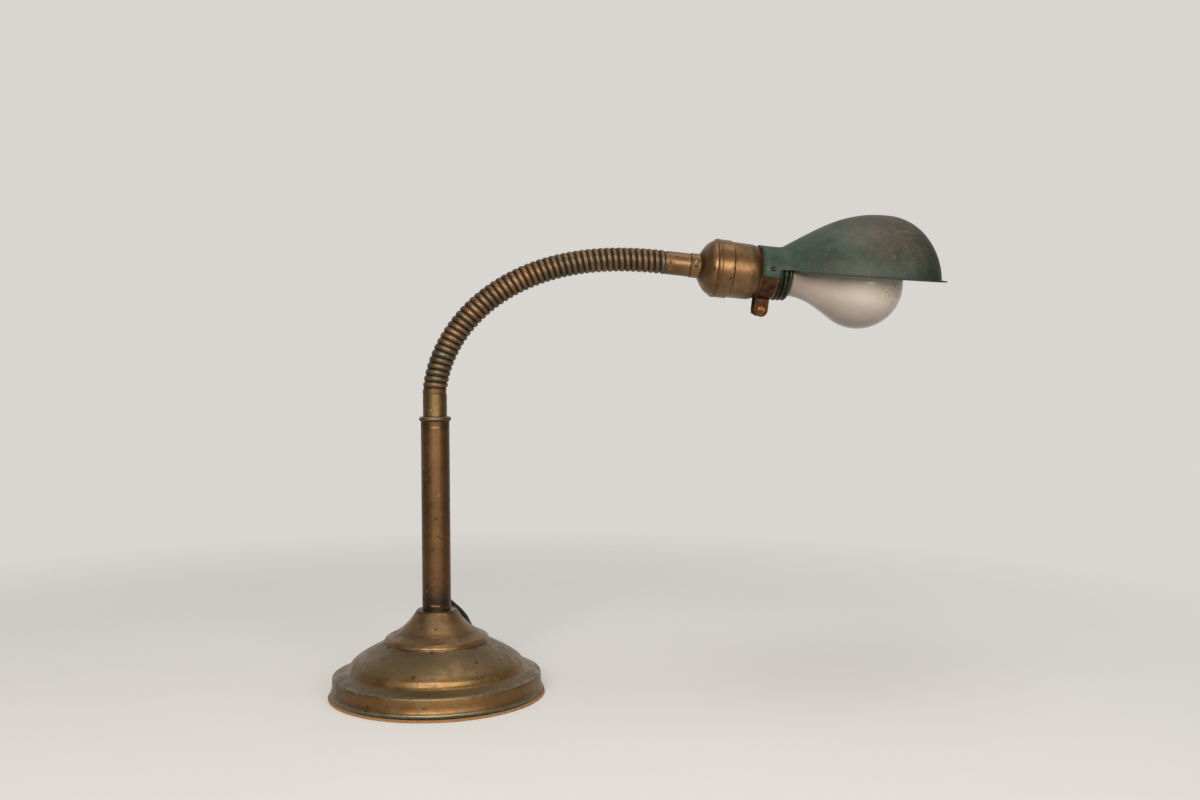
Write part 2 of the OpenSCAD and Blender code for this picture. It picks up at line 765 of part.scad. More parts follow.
module shade_shell() {
    notch_a = crease_a - 4;
    color("#4f6b5c") at_shade() {
        difference() {
            spun(shade_line, sheet_t);
            // The bowl ends at the rim plane, the tab a little below the axis
            intersection() {
                below_rim();
                translate([-100, -100, notch_a]) cube([200, 200, 200]);
            }
            translate([-100 - tab_drop, -50, clamp_a - 2]) cube([100, 100, notch_a - clamp_a + 2.01]);
            for (s = [-1, 1]) rotate([0, 0, s * rivet_turn]) translate([0, 0, rivet_a])
                rotate([0, 90, 0]) cylinder(d = rivet_d + 2 * seat, h = 40);
        }
        rim_flange();
    }
}

// Flat flange turned outward along the rim of the bowl
module rim_flange() {
    reach = reversed(concat(
        [for (p = inset(bowl_line, -flange_w)) if (p[1] > crease_a + 3) p],
        [[0.3, nose_a + flange_w]]
    ));
    inside = reversed([for (p = inset(bowl_line, sheet_t / 2)) if (p[1] > crease_a) p]);
    difference() {
        intersection() {
            rotate_extrude() polygon(concat(
                reach, [[0.3, reach[len(reach) - 1][1]]]
            ));
            difference() {
                below_rim(sheet_t);
                below_rim(0);
            }
        }
        rotate_extrude() polygon(concat(
            [[0, inside[0][1]]], inside, [[0, inside[len(inside) - 1][1]]]
        ));
    }
}

tab_drop = 2;
rivet_a = clamp_a + clamp_w * 0.62;
rivet_turn = 78;
rivet_d = 2.4;
module shade_rivets() {
    color("#6b5a3a") at_shade(rivet_a) for (s = [-1, 1]) rotate([0, 0, s * rivet_turn])
        rotate([0, 90, 0]) rotate_extrude() polygon([
            [0.7, clamp_r + 0.15], [rivet_d / 2, clamp_r + 0.15],
            [rivet_d / 2, tab_r + sheet_t + 0.3], [rivet_d / 2 + 0.6, tab_r + sheet_t + 0.3],
            [rivet_d / 2 + 0.2, tab_r + sheet_t + 0.9], [0.7, tab_r + sheet_t + 0.6]
        ]);
}

// Split band round the socket's neck, with two ears for the clamp screw
module shade_clamp() {
    ear_r = clamp_w / 2;
    color("#9c5a32") at_shade(clamp_a) difference() {
        union() {
            difference() {
                pipe(2 * (clamp_r + clamp_t), 2 * clamp_r, clamp_w);
                translate([-40, -ear_gap / 2, -1]) cube([40, ear_gap, clamp_w + 2]);
            }
            for (s = [-1, 1]) translate([0, s * (ear_gap + clamp_t) / 2, 0]) {
                translate([-screw_r, -clamp_t / 2, 0])
                    cube([screw_r - clamp_r * 0.965, clamp_t, clamp_w]);
                translate([-screw_r, clamp_t / 2, ear_r]) rotate([90, 0, 0])
                    cylinder(r = ear_r, h = clamp_t);
            }
        }
        translate([-screw_r, 0, ear_r]) rotate([90, 0, 0]) translate([0, 0, -15])
            cylinder(d = clamp_screw_d + 2 * seat, h = 30);
        for (s = [-1, 1]) rotate([0, 0, s * rivet_turn]) translate([0, 0, rivet_a - clamp_a])
            rotate([0, 90, 0]) cylinder(d = rivet_d + 2 * seat, h = 40);
    }
}

// Round-head screw through the ears, head to the front, with a square nut
clamp_screw_d = 4;
ear_out = ear_gap / 2 + clamp_t;
module clamp_screw() {
    color("#7a4a2c") at_shade(clamp_a + clamp_w / 2) translate([-screw_r, 0, 0])
        rotate([-90, 0, 0]) {
            translate([0, 0, -ear_out - 5]) cylinder(d = clamp_screw_d, h = 2 * ear_out + 5.5);
            translate([0, 0, ear_out + seat]) difference() {
                rotate_extrude() polygon([
                    [0, 0], [3.5, 0], [3.5, 0.5], [3, 1.5], [1.8, 2.2], [0, 2.4]
                ]);
                translate([-4, -0.4, 1.3]) cube([8, 0.8, 2]);
            }
        }
}

module clamp_nut() {
    color("#6d5334") at_shade(clamp_a + clamp_w / 2) translate([-screw_r, 0, 0])
        rotate([90, 0, 0]) translate([0, 0, ear_out + seat]) difference() {
            translate([-3.5, -3.5, 0]) cube([7, 7, 3]);
            translate([0, 0, -eps]) cylinder(d = clamp_screw_d + 2 * seat, h = 4);
        }
}

// Cord -----------------------------------------------------------------------

// Rings of a round tube swept along points, its sides square to the path
function unit(v) = v / norm(v);
function along(p, i) = unit(p[min(i + 1, len(p) - 1)] - p[max(i - 1, 0)]);
function ring(p, i, r, n) =
    let (
        t = along(p, i),
        a = unit(cross(abs(t[2]) > 0.9 ? [1, 0, 0] : [0, 0, 1], t)),
        b = cross(t, a)
    )
    [for (k = [0 : n - 1]) p[i] + r * (cos(360 * k / n) * a + sin(360 * k / n) * b)];

module swept(p, d, n = 8) {
    m = len(p);
    polyhedron(
        points = [for (i = [0 : m - 1]) each ring(p, i, d / 2, n)],
        faces = concat(
            [[for (k = [0 : n - 1]) k]],
            [for (i = [0 : m - 2]) for (k = [0 : n - 1])
                [i * n + k, (i + 1) * n + k, (i + 1) * n + (k + 1) % n, i * n + (k + 1) % n]],
            [[for (k = [n - 1 : -1 : 0]) (m - 1) * n + k]]
        )
    );
}

module cord_tube() {
    color("#161514") swept(cord_route, cord_d);
}

module cord_coil() {
    width = coil_cols * cord_d;
    color("#161514") translate([coil_x, coil_y, 0]) rotate_extrude()
        translate([coil_r - width / 2, 0]) square([width, coil_rows * cord_d]);
}

module cord_tail() {
    color("#161514") swept(tail_route, cord_d);
}

plug_len = 25;
blade_len = 15;
module plug_body() {
    color("#1d1b19") translate(plug_at) rotate([0, 90, 0]) {
        translate([0, 0, 0.05]) cylinder(d1 = cord_d + 1.4, d2 = 9, h = 9);
        translate([0, 0, 8]) cylinder(d = 13, h = 4);
        translate([-6.5, -9, 11]) cube([13, 18, plug_len - 11]);
    }
}

module plug_blades() {
    color("#c8b98a") translate(plug_at) rotate([0, 90, 0]) for (s = [-1, 1])
        translate([-3.15, s * 6.35 - 0.75, plug_len + 0.02]) difference() {
            cube([6.3, 1.5, blade_len]);
            translate([3.15, -1, blade_len - 3]) rotate([-90, 0, 0]) cylinder(d = 3, h = 4);
        }
}

base_shell();
base_weight();
cork_pad();
felt_ring();
base_pipe();
base_nut();
base_washer();
post_tube();
post_foot_plug();
post_collar();
cord_bushing();
post_lead();
lower_ferrule();
neck_foot();
neck_link(1);  // neck_link_01
neck_link(2);  // neck_link_02
neck_link(3);  // neck_link_03
neck_link(4);  // neck_link_04
neck_link(5);  // neck_link_05
neck_link(6);  // neck_link_06
neck_link(7);  // neck_link_07
neck_link(8);  // neck_link_08
neck_link(9);  // neck_link_09
neck_link(10);  // neck_link_10
neck_link(11);  // neck_link_11
neck_link(12);  // neck_link_12
neck_link(13);  // neck_link_13
neck_link(14);  // neck_link_14
neck_link(15);  // neck_link_15
neck_tip();
upper_ferrule();
cap_bushing();
cap_screw();
socket_cap();
socket_shell();
shell_liner();
socket_core();
screw_shell();
centre_contact();
terminal_screws();
socket_leads();
mouth_ring();
key_shaft();
turn_key();
bulb_contact();
bulb_glass();
bulb_cap();
bulb_insulator();
bulb_stem();
shade_shell();
shade_clamp();
shade_rivets();
clamp_screw();
clamp_nut();
cord_tube();
cord_coil();
cord_tail();
plug_body();
plug_blades();
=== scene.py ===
"""Gooseneck desk lamp: finishes, wound neck, shade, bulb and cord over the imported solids.

Metres, in the row frame: origin on the table under the post, +Z up, the head points to +X.
"""

import math

import bmesh
import bpy
from mathutils import Matrix, Vector, noise


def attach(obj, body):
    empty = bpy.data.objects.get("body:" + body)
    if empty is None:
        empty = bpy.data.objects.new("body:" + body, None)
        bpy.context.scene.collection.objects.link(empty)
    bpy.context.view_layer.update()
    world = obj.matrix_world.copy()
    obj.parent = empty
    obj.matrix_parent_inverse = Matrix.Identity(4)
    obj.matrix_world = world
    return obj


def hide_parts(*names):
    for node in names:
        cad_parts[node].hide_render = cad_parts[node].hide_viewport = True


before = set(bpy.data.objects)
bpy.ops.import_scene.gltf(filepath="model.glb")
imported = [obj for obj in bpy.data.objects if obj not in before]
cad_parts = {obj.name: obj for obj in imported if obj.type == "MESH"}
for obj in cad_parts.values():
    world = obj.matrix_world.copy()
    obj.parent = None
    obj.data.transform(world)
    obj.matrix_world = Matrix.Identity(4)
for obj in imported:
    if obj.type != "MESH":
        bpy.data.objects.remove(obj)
bpy.context.scene.view_settings.view_transform = "Standard"
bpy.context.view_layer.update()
MM = 0.001

# ---------------------------------------------------------------- camera

CAMERA_AT = (-0.02386, -0.8169, 0.2146)
CAMERA_TURN = -9.2
CAMERA_DOWN = 1.7
CAMERA_ROLL = -0.3
FOCAL_PX = 1250
IMAGE_PX = 1200


def make_camera():
    """A nearly level camera in front of the lamp, turned a little to the right."""
    data = bpy.data.cameras.new("camera")
    data.sensor_width = 36
    data.lens = FOCAL_PX * data.sensor_width / IMAGE_PX
    data.clip_start, data.clip_end = 0.05, 20
    cam = bpy.data.objects.new("camera", data)
    turn = (
        Matrix.Rotation(math.radians(CAMERA_TURN), 4, "Z")
        @ Matrix.Rotation(math.radians(90 - CAMERA_DOWN), 4, "X")
        @ Matrix.Rotation(math.radians(CAMERA_ROLL), 4, "Z")
    )
    cam.matrix_world = Matrix.Translation(CAMERA_AT) @ turn
    bpy.context.scene.collection.objects.link(cam)
    bpy.context.scene.camera = cam


make_camera()

# ---------------------------------------------------------------- neck geometry

TURN_PITCH = 4 * MM
TURNS = 48
LINKS = 15
LINK_LEN = 3 * TURN_PITCH
NECK_LEN = TURNS * TURN_PITCH
NECK_START = Vector((0, 0, 198 * MM))
NECK_LEAN = math.radians(7)
BEND_LOW, BEND_HIGH = 1 / (76 * MM), 1 / (333 * MM)


def heading(s):
    """Angle of the neck's centreline from vertical, towards +X."""
    s = min(max(s, 0), NECK_LEN)
    return NECK_LEAN + BEND_LOW * s + (BEND_HIGH - BEND_LOW) * s * s / (2 * NECK_LEN)


# Points of the centreline, up to a turn past its end, where the last tongue reaches
STEP = 0.5 * MM
CENTRELINE = [NECK_START]
for i in range(round((NECK_LEN + TURN_PITCH) / STEP)):
    h = heading((i + 0.5) * STEP)
    CENTRELINE.append(CENTRELINE[-1] + STEP * Vector((math.sin(h), 0, math.cos(h))))


def station(s):
    """Point of the centreline a length s up the neck."""
    i = min(max(math.floor(s / STEP), 0), len(CENTRELINE) - 2)
    return CENTRELINE[i] + (s / STEP - i) * (CENTRELINE[i + 1] - CENTRELINE[i])


# The head's own frame: +Z along its axis, +X to its top, +Y to its front side. The shade has
# turned a little on it
SHADE_TURN = math.radians(6)
HEAD = (
    Matrix.Translation(station(NECK_LEN))
    @ Matrix.Rotation(heading(NECK_LEN), 4, "Y")
    @ Matrix.Rotation(math.pi, 4, "Z")
)
SHADE = HEAD @ Matrix.Rotation(SHADE_TURN, 4, "Z")

# ---------------------------------------------------------------- node materials


def srgb(hex_code):
    """A linear colour from an sRGB hex code."""
    out = []
    for i in (0, 2, 4):
        c = int(hex_code[i : i + 2], 16) / 255
        out.append(c / 12.92 if c <= 0.04045 else ((c + 0.055) / 1.055) ** 2.4)
    return (*out, 1)


def add(tree, kind, *values, out=0, stops=(), **named):
    """Adds a node and returns one of its outputs. The values go to its open inputs in order.
    Names with a capital are inputs, the others settings. A value may be an output to link or
    a hex colour. stops are the (place, colour or grey) of a ramp."""
    node = tree.nodes.new("ShaderNode" + kind)
    for name, value in named.items():
        if name.islower():
            setattr(node, name, value)
    given = list(zip([s for s in node.inputs if s.enabled], values))
    given += [(node.inputs[n.replace("_", " ")], v) for n, v in named.items() if not n.islower()]
    for socket, value in given:
        if isinstance(value, bpy.types.NodeSocket):
            tree.links.new(value, socket)
        else:
            socket.default_value = srgb(value) if isinstance(value, str) else value
    if stops:
        band = node.color_ramp.elements
        band.remove(band[1])
        for i, (at, colour) in enumerate(stops):
            stop = band.new(at) if i else band[0]
            stop.position = at
            stop.color = srgb(colour) if isinstance(colour, str) else (colour,) * 3 + (1,)
    if isinstance(out, str):
        return node.outputs[out]
    return [s for s in node.outputs if s.enabled][out]


def grains(mm):
    """Scale of a pattern whose grains or patches are this many millimetres across."""
    return 1 / (mm * MM)


class Finish:
    """A Principled material. place is a point's place in its piece's own frame, where the
    piece keeps one, and otherwise in the row frame."""

    def __init__(self, name, local=False, **constants):
        self.material = bpy.data.materials.new(name)
        self.material.use_nodes = True
        self.tree = self.material.node_tree
        self.shader = self.tree.nodes["Principled BSDF"]
        for socket, value in constants.items():
            self.shader.inputs[socket.replace("_", " ")].default_value = value
        if local:
            self.place = self.add("Attribute", attribute_name="local", out="Vector")
        else:
            self.place = self.add("TexCoord", out="Object")

    def add(self, kind, *values, **named):
        return add(self.tree, kind, *values, **named)

    def close(self, colour, roughness, *reliefs):
        """Joins the colour, the roughness and the reliefs, which are (height, depth in mm,
        strength), to the shader."""
        normal = None
        for height, depth, strength in reliefs:
            under = {"Normal": normal} if normal else {}
            normal = self.add("Bump", Height=height, Distance=depth * MM, Strength=strength,
                              **under)
        for name, value in (("Base Color", colour), ("Roughness", roughness), ("Normal", normal)):
            self.tree.links.new(value, self.shader.inputs[name])
        return self


def aged_brass(name, light, mid, dark, bloom, bloom_amount=0.3, stains=(), pale=(), zones=(),
               rough=0.38, spun=True):
    """Spun or drawn brass under an old bronze lacquer, rubbed through in places: satin brown
    with a warm sheen, an olive bloom, a few dark specks and bright nicks. stains and pale are
    (z from, z to, amount) bands along the piece's axis in mm, dark with dirt, or pale
    grey-green for verdigris, which on the base's bead and rim edge is partly painted highlight;
    zones are (z, colour) stops of the main tone."""
    f = Finish(name, local=True, Metallic=0.88, Coat_Weight=0.3, Coat_Roughness=0.38)
    z = f.add("SeparateXYZ", f.place, out="Z")
    cloud = f.add("TexNoise", f.place, Scale=grains(45), Detail=5, Roughness=0.6, Distortion=0.3)
    grime = f.add("TexNoise", f.place, Scale=grains(8.3), Detail=7, Roughness=0.68)
    fine = f.add("TexNoise", f.place, Scale=grains(1.1), Detail=5, Roughness=0.6)
    base = f.add("ValToRGB", cloud, stops=((0.30, dark), (0.45, mid), (0.66, light)))
    if zones:
        low, high = zones[0][0], zones[-1][0]
        at = f.add("MapRange", z, low * MM, high * MM)
        tone = f.add("ValToRGB", at, stops=[((h - low) / (high - low), c) for h, c in zones])
        base = f.add("Mix", 0.72, base, tone, data_type="RGBA")
    green = f.add("MapRange", grime, 0.46, 0.66, 0, bloom_amount)
    base = f.add("Mix", green, base, bloom, data_type="RGBA")
    # The bands wander by about a millimetre and break up
    wander = f.add("MapRange", grime, 0, 1, -2.5 * MM, 2.5 * MM)
    edge = f.add("Math", z, wander, operation="ADD")
    broken = f.add("MapRange", grime, 0.34, 0.58, 0.25, 1)
    for bands, colour in ((stains, "231710"), (pale, "8e977c")):
        for low, high, amount in bands:
            wide = (high - low) * MM
            off = f.add("Math", edge, (low + high) / 2 * MM, operation="SUBTRACT")
            off = f.add("Math", off, operation="ABSOLUTE")
            near = f.add("MapRange", off, 0.75 * wide, 0.25 * wide, 0, amount)
            near = f.add("Math", near, broken, operation="MULTIPLY")
            base = f.add("Mix", near, base, colour, data_type="RGBA")
    specks = f.add("TexNoise", f.place, Scale=grains(5.3), Detail=2, Roughness=0.5)
    specks = f.add("MapRange", specks, 0.685, 0.71, 0, 0.7)
    base = f.add("Mix", specks, base, "2c1d11", data_type="RGBA")
    drawn = f.add("Mapping", f.place, Scale=(0.3, 1, 1))
    nicks = f.add("TexNoise", drawn, Scale=grains(3.8), Detail=2, Roughness=0.5)
    nicks = f.add("MapRange", nicks, 0.70, 0.72, 0, 0.35)
    base = f.add("Mix", nicks, base, "c39c68", data_type="RGBA")
    tint = f.add("MapRange", fine, 0.3, 0.7, 0.86, 1.1)
    base = f.add("Mix", 1.0, base, tint, data_type="RGBA", blend_type="MULTIPLY")
    dull = f.add("MapRange", grime, 0, 1, rough - 0.13, rough + 0.17)
    dull = f.add("Math", green, 0.5, dull, operation="MULTIPLY_ADD", use_clamp=True)
    reliefs = [(grime, 0.10, 0.35), (fine, 0.03, 0.4)]
    if spun:
        # Tool marks of the spinning, drawn at 0.4 mm so that they show
        flat = f.add("VectorMath", f.place, (1, 1, 0), operation="MULTIPLY")
        far = f.add("VectorMath", flat, operation="LENGTH")
        ring = f.add("CombineXYZ", far, z, 0)
        marks = f.add("TexNoise", ring, Scale=grains(0.4), Detail=2, Roughness=0.6)
        reliefs.append((marks, 0.02, 0.3))
    return f.close(base, dull, *reliefs, (specks, -0.12, 0.5))


def wound_bronze():
    """Bronze strip wound into a hose, with olive and copper patches from turn to turn. The crowns
    are lighter, partly rubbed and partly painted highlight; the flanks are darker and the seams
    near black, as painted shade."""
    f = Finish("wound_bronze_strip", local=True, Metallic=0.85, Coat_Weight=0.3,
               Coat_Roughness=0.4)
    # By radius: the seam's bottom is under 7.02 mm, the flanks reach 7.8 mm, then the crown
    flat = f.add("VectorMath", f.place, (1, 1, 0), operation="MULTIPLY")
    far = f.add("VectorMath", flat, operation="LENGTH")
    patch = f.add("TexNoise", f.place, Scale=grains(17), Detail=5, Roughness=0.6, Distortion=0.4)
    grime = f.add("TexNoise", f.place, Scale=grains(3.8), Detail=6, Roughness=0.65)
    fine = f.add("TexNoise", f.place, Scale=grains(1.2), Detail=5, Roughness=0.62)
    base = f.add("ValToRGB", patch, stops=((0.36, "565040"), (0.47, "675239"), (0.56, "77583a"),
                                           (0.68, "84694a")))
    # Painted shade: the flanks, under 7.8 mm radius, are darkened towards dark brown
    valley = f.add("Mix", 0.65, base, "2a2116", data_type="RGBA")
    base = f.add("Mix", f.add("MapRange", far, 7.1 * MM, 7.8 * MM), valley, base,
                 data_type="RGBA")
    # Painted shade: the bottom of the seam, under 7.02 mm radius, goes near black
    base = f.add("Mix", f.add("MapRange", far, 6.72 * MM, 7.02 * MM), "0f0b07", base,
                 data_type="RGBA")
    # Partly rubbed brass and partly painted highlight: a patchy pale greyish colour on the crowns
    crown_wear_and_highlight = f.add("Math", f.add("MapRange", far, 7.86 * MM, 7.96 * MM),
                  f.add("MapRange", grime, 0.44, 0.62, 0, 0.6), operation="MULTIPLY")
    base = f.add("Mix", crown_wear_and_highlight, base, "a8957a", data_type="RGBA")
    tint = f.add("MapRange", fine, 0.3, 0.7, 0.82, 1.12)
    base = f.add("Mix", 1.0, base, tint, data_type="RGBA", blend_type="MULTIPLY")
    dull = f.add("MapRange", grime, 0, 1, 0.36, 0.66)
    return f.close(base, dull, (grime, 0.06, 0.4), (fine, 0.03, 0.4))


def tarnished(name, colour, dark, rough, metallic=1.0):
    """A small turned or stamped metal part: streaky tarnish in patches of 4 mm."""
    f = Finish(name, Metallic=metallic)
    patch = f.add("TexNoise", f.place, Scale=grains(3.8), Detail=6, Roughness=0.6)
    fine = f.add("TexNoise", f.place, Scale=grains(0.4), Detail=3, Roughness=0.6)
    base = f.add("Mix", f.add("MapRange", patch, 0.42, 0.66), colour, dark, data_type="RGBA")
    dull = f.add("MapRange", patch, 0, 1, rough - 0.12, rough + 0.13)
    return f.close(base, dull, (patch, 0.06, 0.4), (fine, 0.02, 0.4))


def mottled(name, colour, other, rough, grain, depth=0.03, ior=1.5, sheen=0.0):
    """A non-metal with a mottle of grain mm, and one six times finer: rubber, moulded
    phenolic, cast iron's skin, felt, cork, paper, porcelain or glass."""
    f = Finish(name, IOR=ior, Sheen_Weight=sheen)
    mottle = f.add("TexNoise", f.place, Scale=grains(grain), Detail=6, Roughness=0.65)
    fine = f.add("TexNoise", f.place, Scale=grains(grain / 6), Detail=3, Roughness=0.6)
    base = f.add("Mix", f.add("MapRange", mottle, 0.35, 0.7), colour, other, data_type="RGBA")
    dull = f.add("MapRange", mottle, 0, 1, rough - 0.1, rough + 0.1)
    return f.close(base, dull, (mottle, depth, 0.5), (fine, depth / 4, 0.5))


# ---------------------------------------------------------------- mesh helpers


def mark(mesh, places):
    """Keeps each point's place in its piece's own frame, for the finishes."""
    attr = mesh.attributes.new("local", "FLOAT_VECTOR", "POINT")
    attr.data.foreach_set("vector", [c for p in places for c in p])


def link(mesh, name, body, materials, at=None, nodes=()):
    """Makes a piece from a mesh, gives it finish and body, and hides what it replaces.
    at is the frame in which the mesh was drawn."""
    if "local" not in mesh.attributes:
        mark(mesh, [v.co for v in mesh.vertices])
    if at is not None:
        mesh.transform(at)
    obj = bpy.data.objects.new(name, mesh)
    bpy.context.scene.collection.objects.link(obj)
    for f in materials:
        mesh.materials.append(f.material)
    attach(obj, body)
    if nodes:
        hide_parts(*nodes)
    return obj


def sharpen(mesh, degrees):
    """Smooth shading, with edges steeper than this left sharp."""
    mesh.polygons.foreach_set("use_smooth", [True] * len(mesh.polygons))
    bm = bmesh.new()
    bm.from_mesh(mesh)
    for e in bm.edges:
        e.smooth = not (len(e.link_faces) == 2
                        and e.calc_face_angle(0) > math.radians(degrees))
    bm.to_mesh(mesh)
    bm.free()


def mesh_of(verts, faces, name, degrees):
    """A smooth mesh, with edges steeper than this left sharp."""
    mesh = bpy.data.meshes.new(name)
    mesh.from_pydata([tuple(v) for v in verts], [], faces)
    mesh.update()
    sharpen(mesh, degrees)
    return mesh


def curve(a, b, c, d, n):
    """Points of a cubic curve from a to d with handles b and c."""
    out = []
    for i in range(n + 1):
        t, u = i / n, 1 - i / n
        out.append(tuple(
            u**3 * a[k] + 3 * u * u * t * b[k] + 3 * u * t * t * c[k] + t**3 * d[k]
            for k in (0, 1)
        ))
    return out


def lathe(line, n, shape=None):
    """Vertices and faces of a closed line (radius, height) in mm, turned about Z in n steps.
    shape(r, z, angle) may return a changed (r, z)."""
    verts, faces = [], []
    m = len(line)
    for j in range(n):
        t = 2 * math.pi * j / n
        for r, z in line:
            if shape:
                r, z = shape(r, z, t)
            verts.append((r * math.cos(t) * MM, r * math.sin(t) * MM, z * MM))
    for j in range(n):
        k = (j + 1) % n
        for i in range(m):
            i2 = (i + 1) % m
            faces.append((j * m + i, k * m + i, k * m + i2, j * m + i2))
    return verts, faces


def inner(line, wall):
    """The same open line moved to its left side by wall, in reverse order."""
    out = []
    for i, (r, z) in enumerate(line):
        a, b = line[max(i - 1, 0)], line[min(i + 1, len(line) - 1)]
        dr, dz = b[0] - a[0], b[1] - a[1]
        size = math.hypot(dr, dz) or 1
        out.append((r - wall * dz / size, z + wall * dr / size))
    return out[::-1]


# ---------------------------------------------------------------- finishes

# Spun base: olive bloom on the flats, brass showing on the rim wall and the curves
BASE_BRASS = aged_brass(
    "spun_brass_base", "9d7846", "7c5a32", "513a1e", "63654a", 0.5,
    # pale: the bottom bead and the rim's top edge, partly verdigris and partly painted highlight
    pale=((13.3, 14.1, 0.45), (2.0, 4.4, 0.6)),
    stains=((34.2, 35.4, 0.6), (40.4, 42.4, 0.3), (54.2, 55.6, 0.6)),
    zones=((2, "6c6f50"), (5, "7f582d"), (13, "7a572b"), (14.5, "5c5137"), (18, "8d6c3c"),
           (24, "80694a"), (33, "655940"), (36, "8c6c46"), (42, "775c3c"), (47, "92714e"),
           (54, "876849")))
# Drawn tube: even brown lacquer, black where it meets the base and the collar
POST_BRASS = aged_brass("drawn_brass_post", "75542f", "604224", "402d18", "565134", spun=False,
                        stains=((54, 64, 0.9), (172, 178, 0.45)))
# Ferrule and collar: greener, with verdigris at the step
FERRULE_BRASS = aged_brass("turned_brass_ferrule", "86693f", "6b5231", "3f2f1b", "575a3e", 0.65,
                           stains=((176.8, 178.6, 0.7),), pale=((179.4, 180.8, 0.45),))
# Ferrule and hub at the head: rubbed to a lighter brass by the hand that turns the lamp
TIP_BRASS = aged_brass("rubbed_brass_ferrule", "a07c52", "82623f", "553b22", "66603f",
                       stains=((17.2, 18.2, 0.6), (24.0, 25.0, 0.6)))
# Socket cap and shell: rubbed brass with dirt in every bead and seam
SOCKET_BRASS = aged_brass(
    "rolled_brass_socket", "98744a", "795837", "49331d", "565138", 0.35, rough=0.36,
    stains=((24.0, 26.6, 0.6), (35.0, 35.6, 0.6), (44.8, 45.4, 0.6), (57, 60, 0.5)))
# Ring at the socket's mouth: nearly black, dull, with a green cast
MOUTH_BRASS = aged_brass("blackened_brass_ring", "5b5640", "3b3828", "1c1a13", "4b5a48", 0.6,
                         rough=0.45)
# Flexible neck
NECK_BRONZE = wound_bronze()
# Contacts, key shaft and plug blades: clean yellow brass
CONTACT_BRASS = tarnished("stamped_contact_brass", "c9a868", "8a6a38", 0.32)
# Lamp pipe, nut and washer inside: dull grey zinc
ZINC_STEEL = tarnished("zinc_plated_steel", "9a968b", "5d584d", 0.42)
# Set screw: dark brass with a dirty slot
SCREW_BRASS = tarnished("turned_brass_screw", "6f5f44", "2c2417", 0.42)
# Clamp band: dark reddish copper strip
COPPER = tarnished("bent_copper_strip", "573821", "2c1b10", 0.46, 0.8)
# Clamp screw and nut: copper rubbed orange
SCREW_COPPER = tarnished("rubbed_copper_screw", "a06a3e", "5a3820", 0.38, 0.9)
# Bulb's screw cap and its solder
ALUMINIUM = tarnished("rolled_aluminium_cap", "b9b7b0", "8f8c84", 0.35)
SOLDER = tarnished("grey_solder", "a8a59d", "7c7970", 0.4)
# Weight: rough dark skin of a sand casting, rusty in places
IRON = mottled("sand_cast_iron", "2b2a28", "3c332b", 0.75, 1.4, 0.3)
# Cork sheet under the base: tan, crumbly, with brown grains
CORK = mottled("cut_cork_sheet", "b58350", "7d542e", 0.85, 1.1, 0.3)
# Felt ring: black and soft, pale at grazing angles
FELT = mottled("black_wool_felt", "14130f", "24211b", 0.95, 0.55, 0.2, 1.4, 0.4)
# Cord, bushing and leads: black rubber with a soft low gloss
RUBBER = mottled("black_extruded_rubber", "141312", "24211e", 0.55, 1.1)
# Plug: harder black moulding, glossier
PLUG = mottled("black_moulded_plug", "1a1817", "2a2522", 0.42, 1.4)
# Key: dark brown phenolic, polished by use
PHENOLIC = mottled("moulded_phenolic", "221a14", "35281d", 0.35, 2.5)
# Socket core: glazed white porcelain
PORCELAIN = mottled("glazed_porcelain", "d9d4c6", "bdb6a4", 0.3, 5)
# Liner: dull brown pressed paper
FIBRE = mottled("pressed_fibre", "7c6a4e", "5e4f38", 0.8, 1.1, 0.1)
# Glass of the bulb's cap and of the stem inside
BLACK_GLASS = mottled("black_cap_glass", "0d0d10", "1b1a1e", 0.22, 3.3)
STEM_GLASS = mottled("drawn_stem_glass", "c9cdc8", "b3b8b2", 0.2, 5)


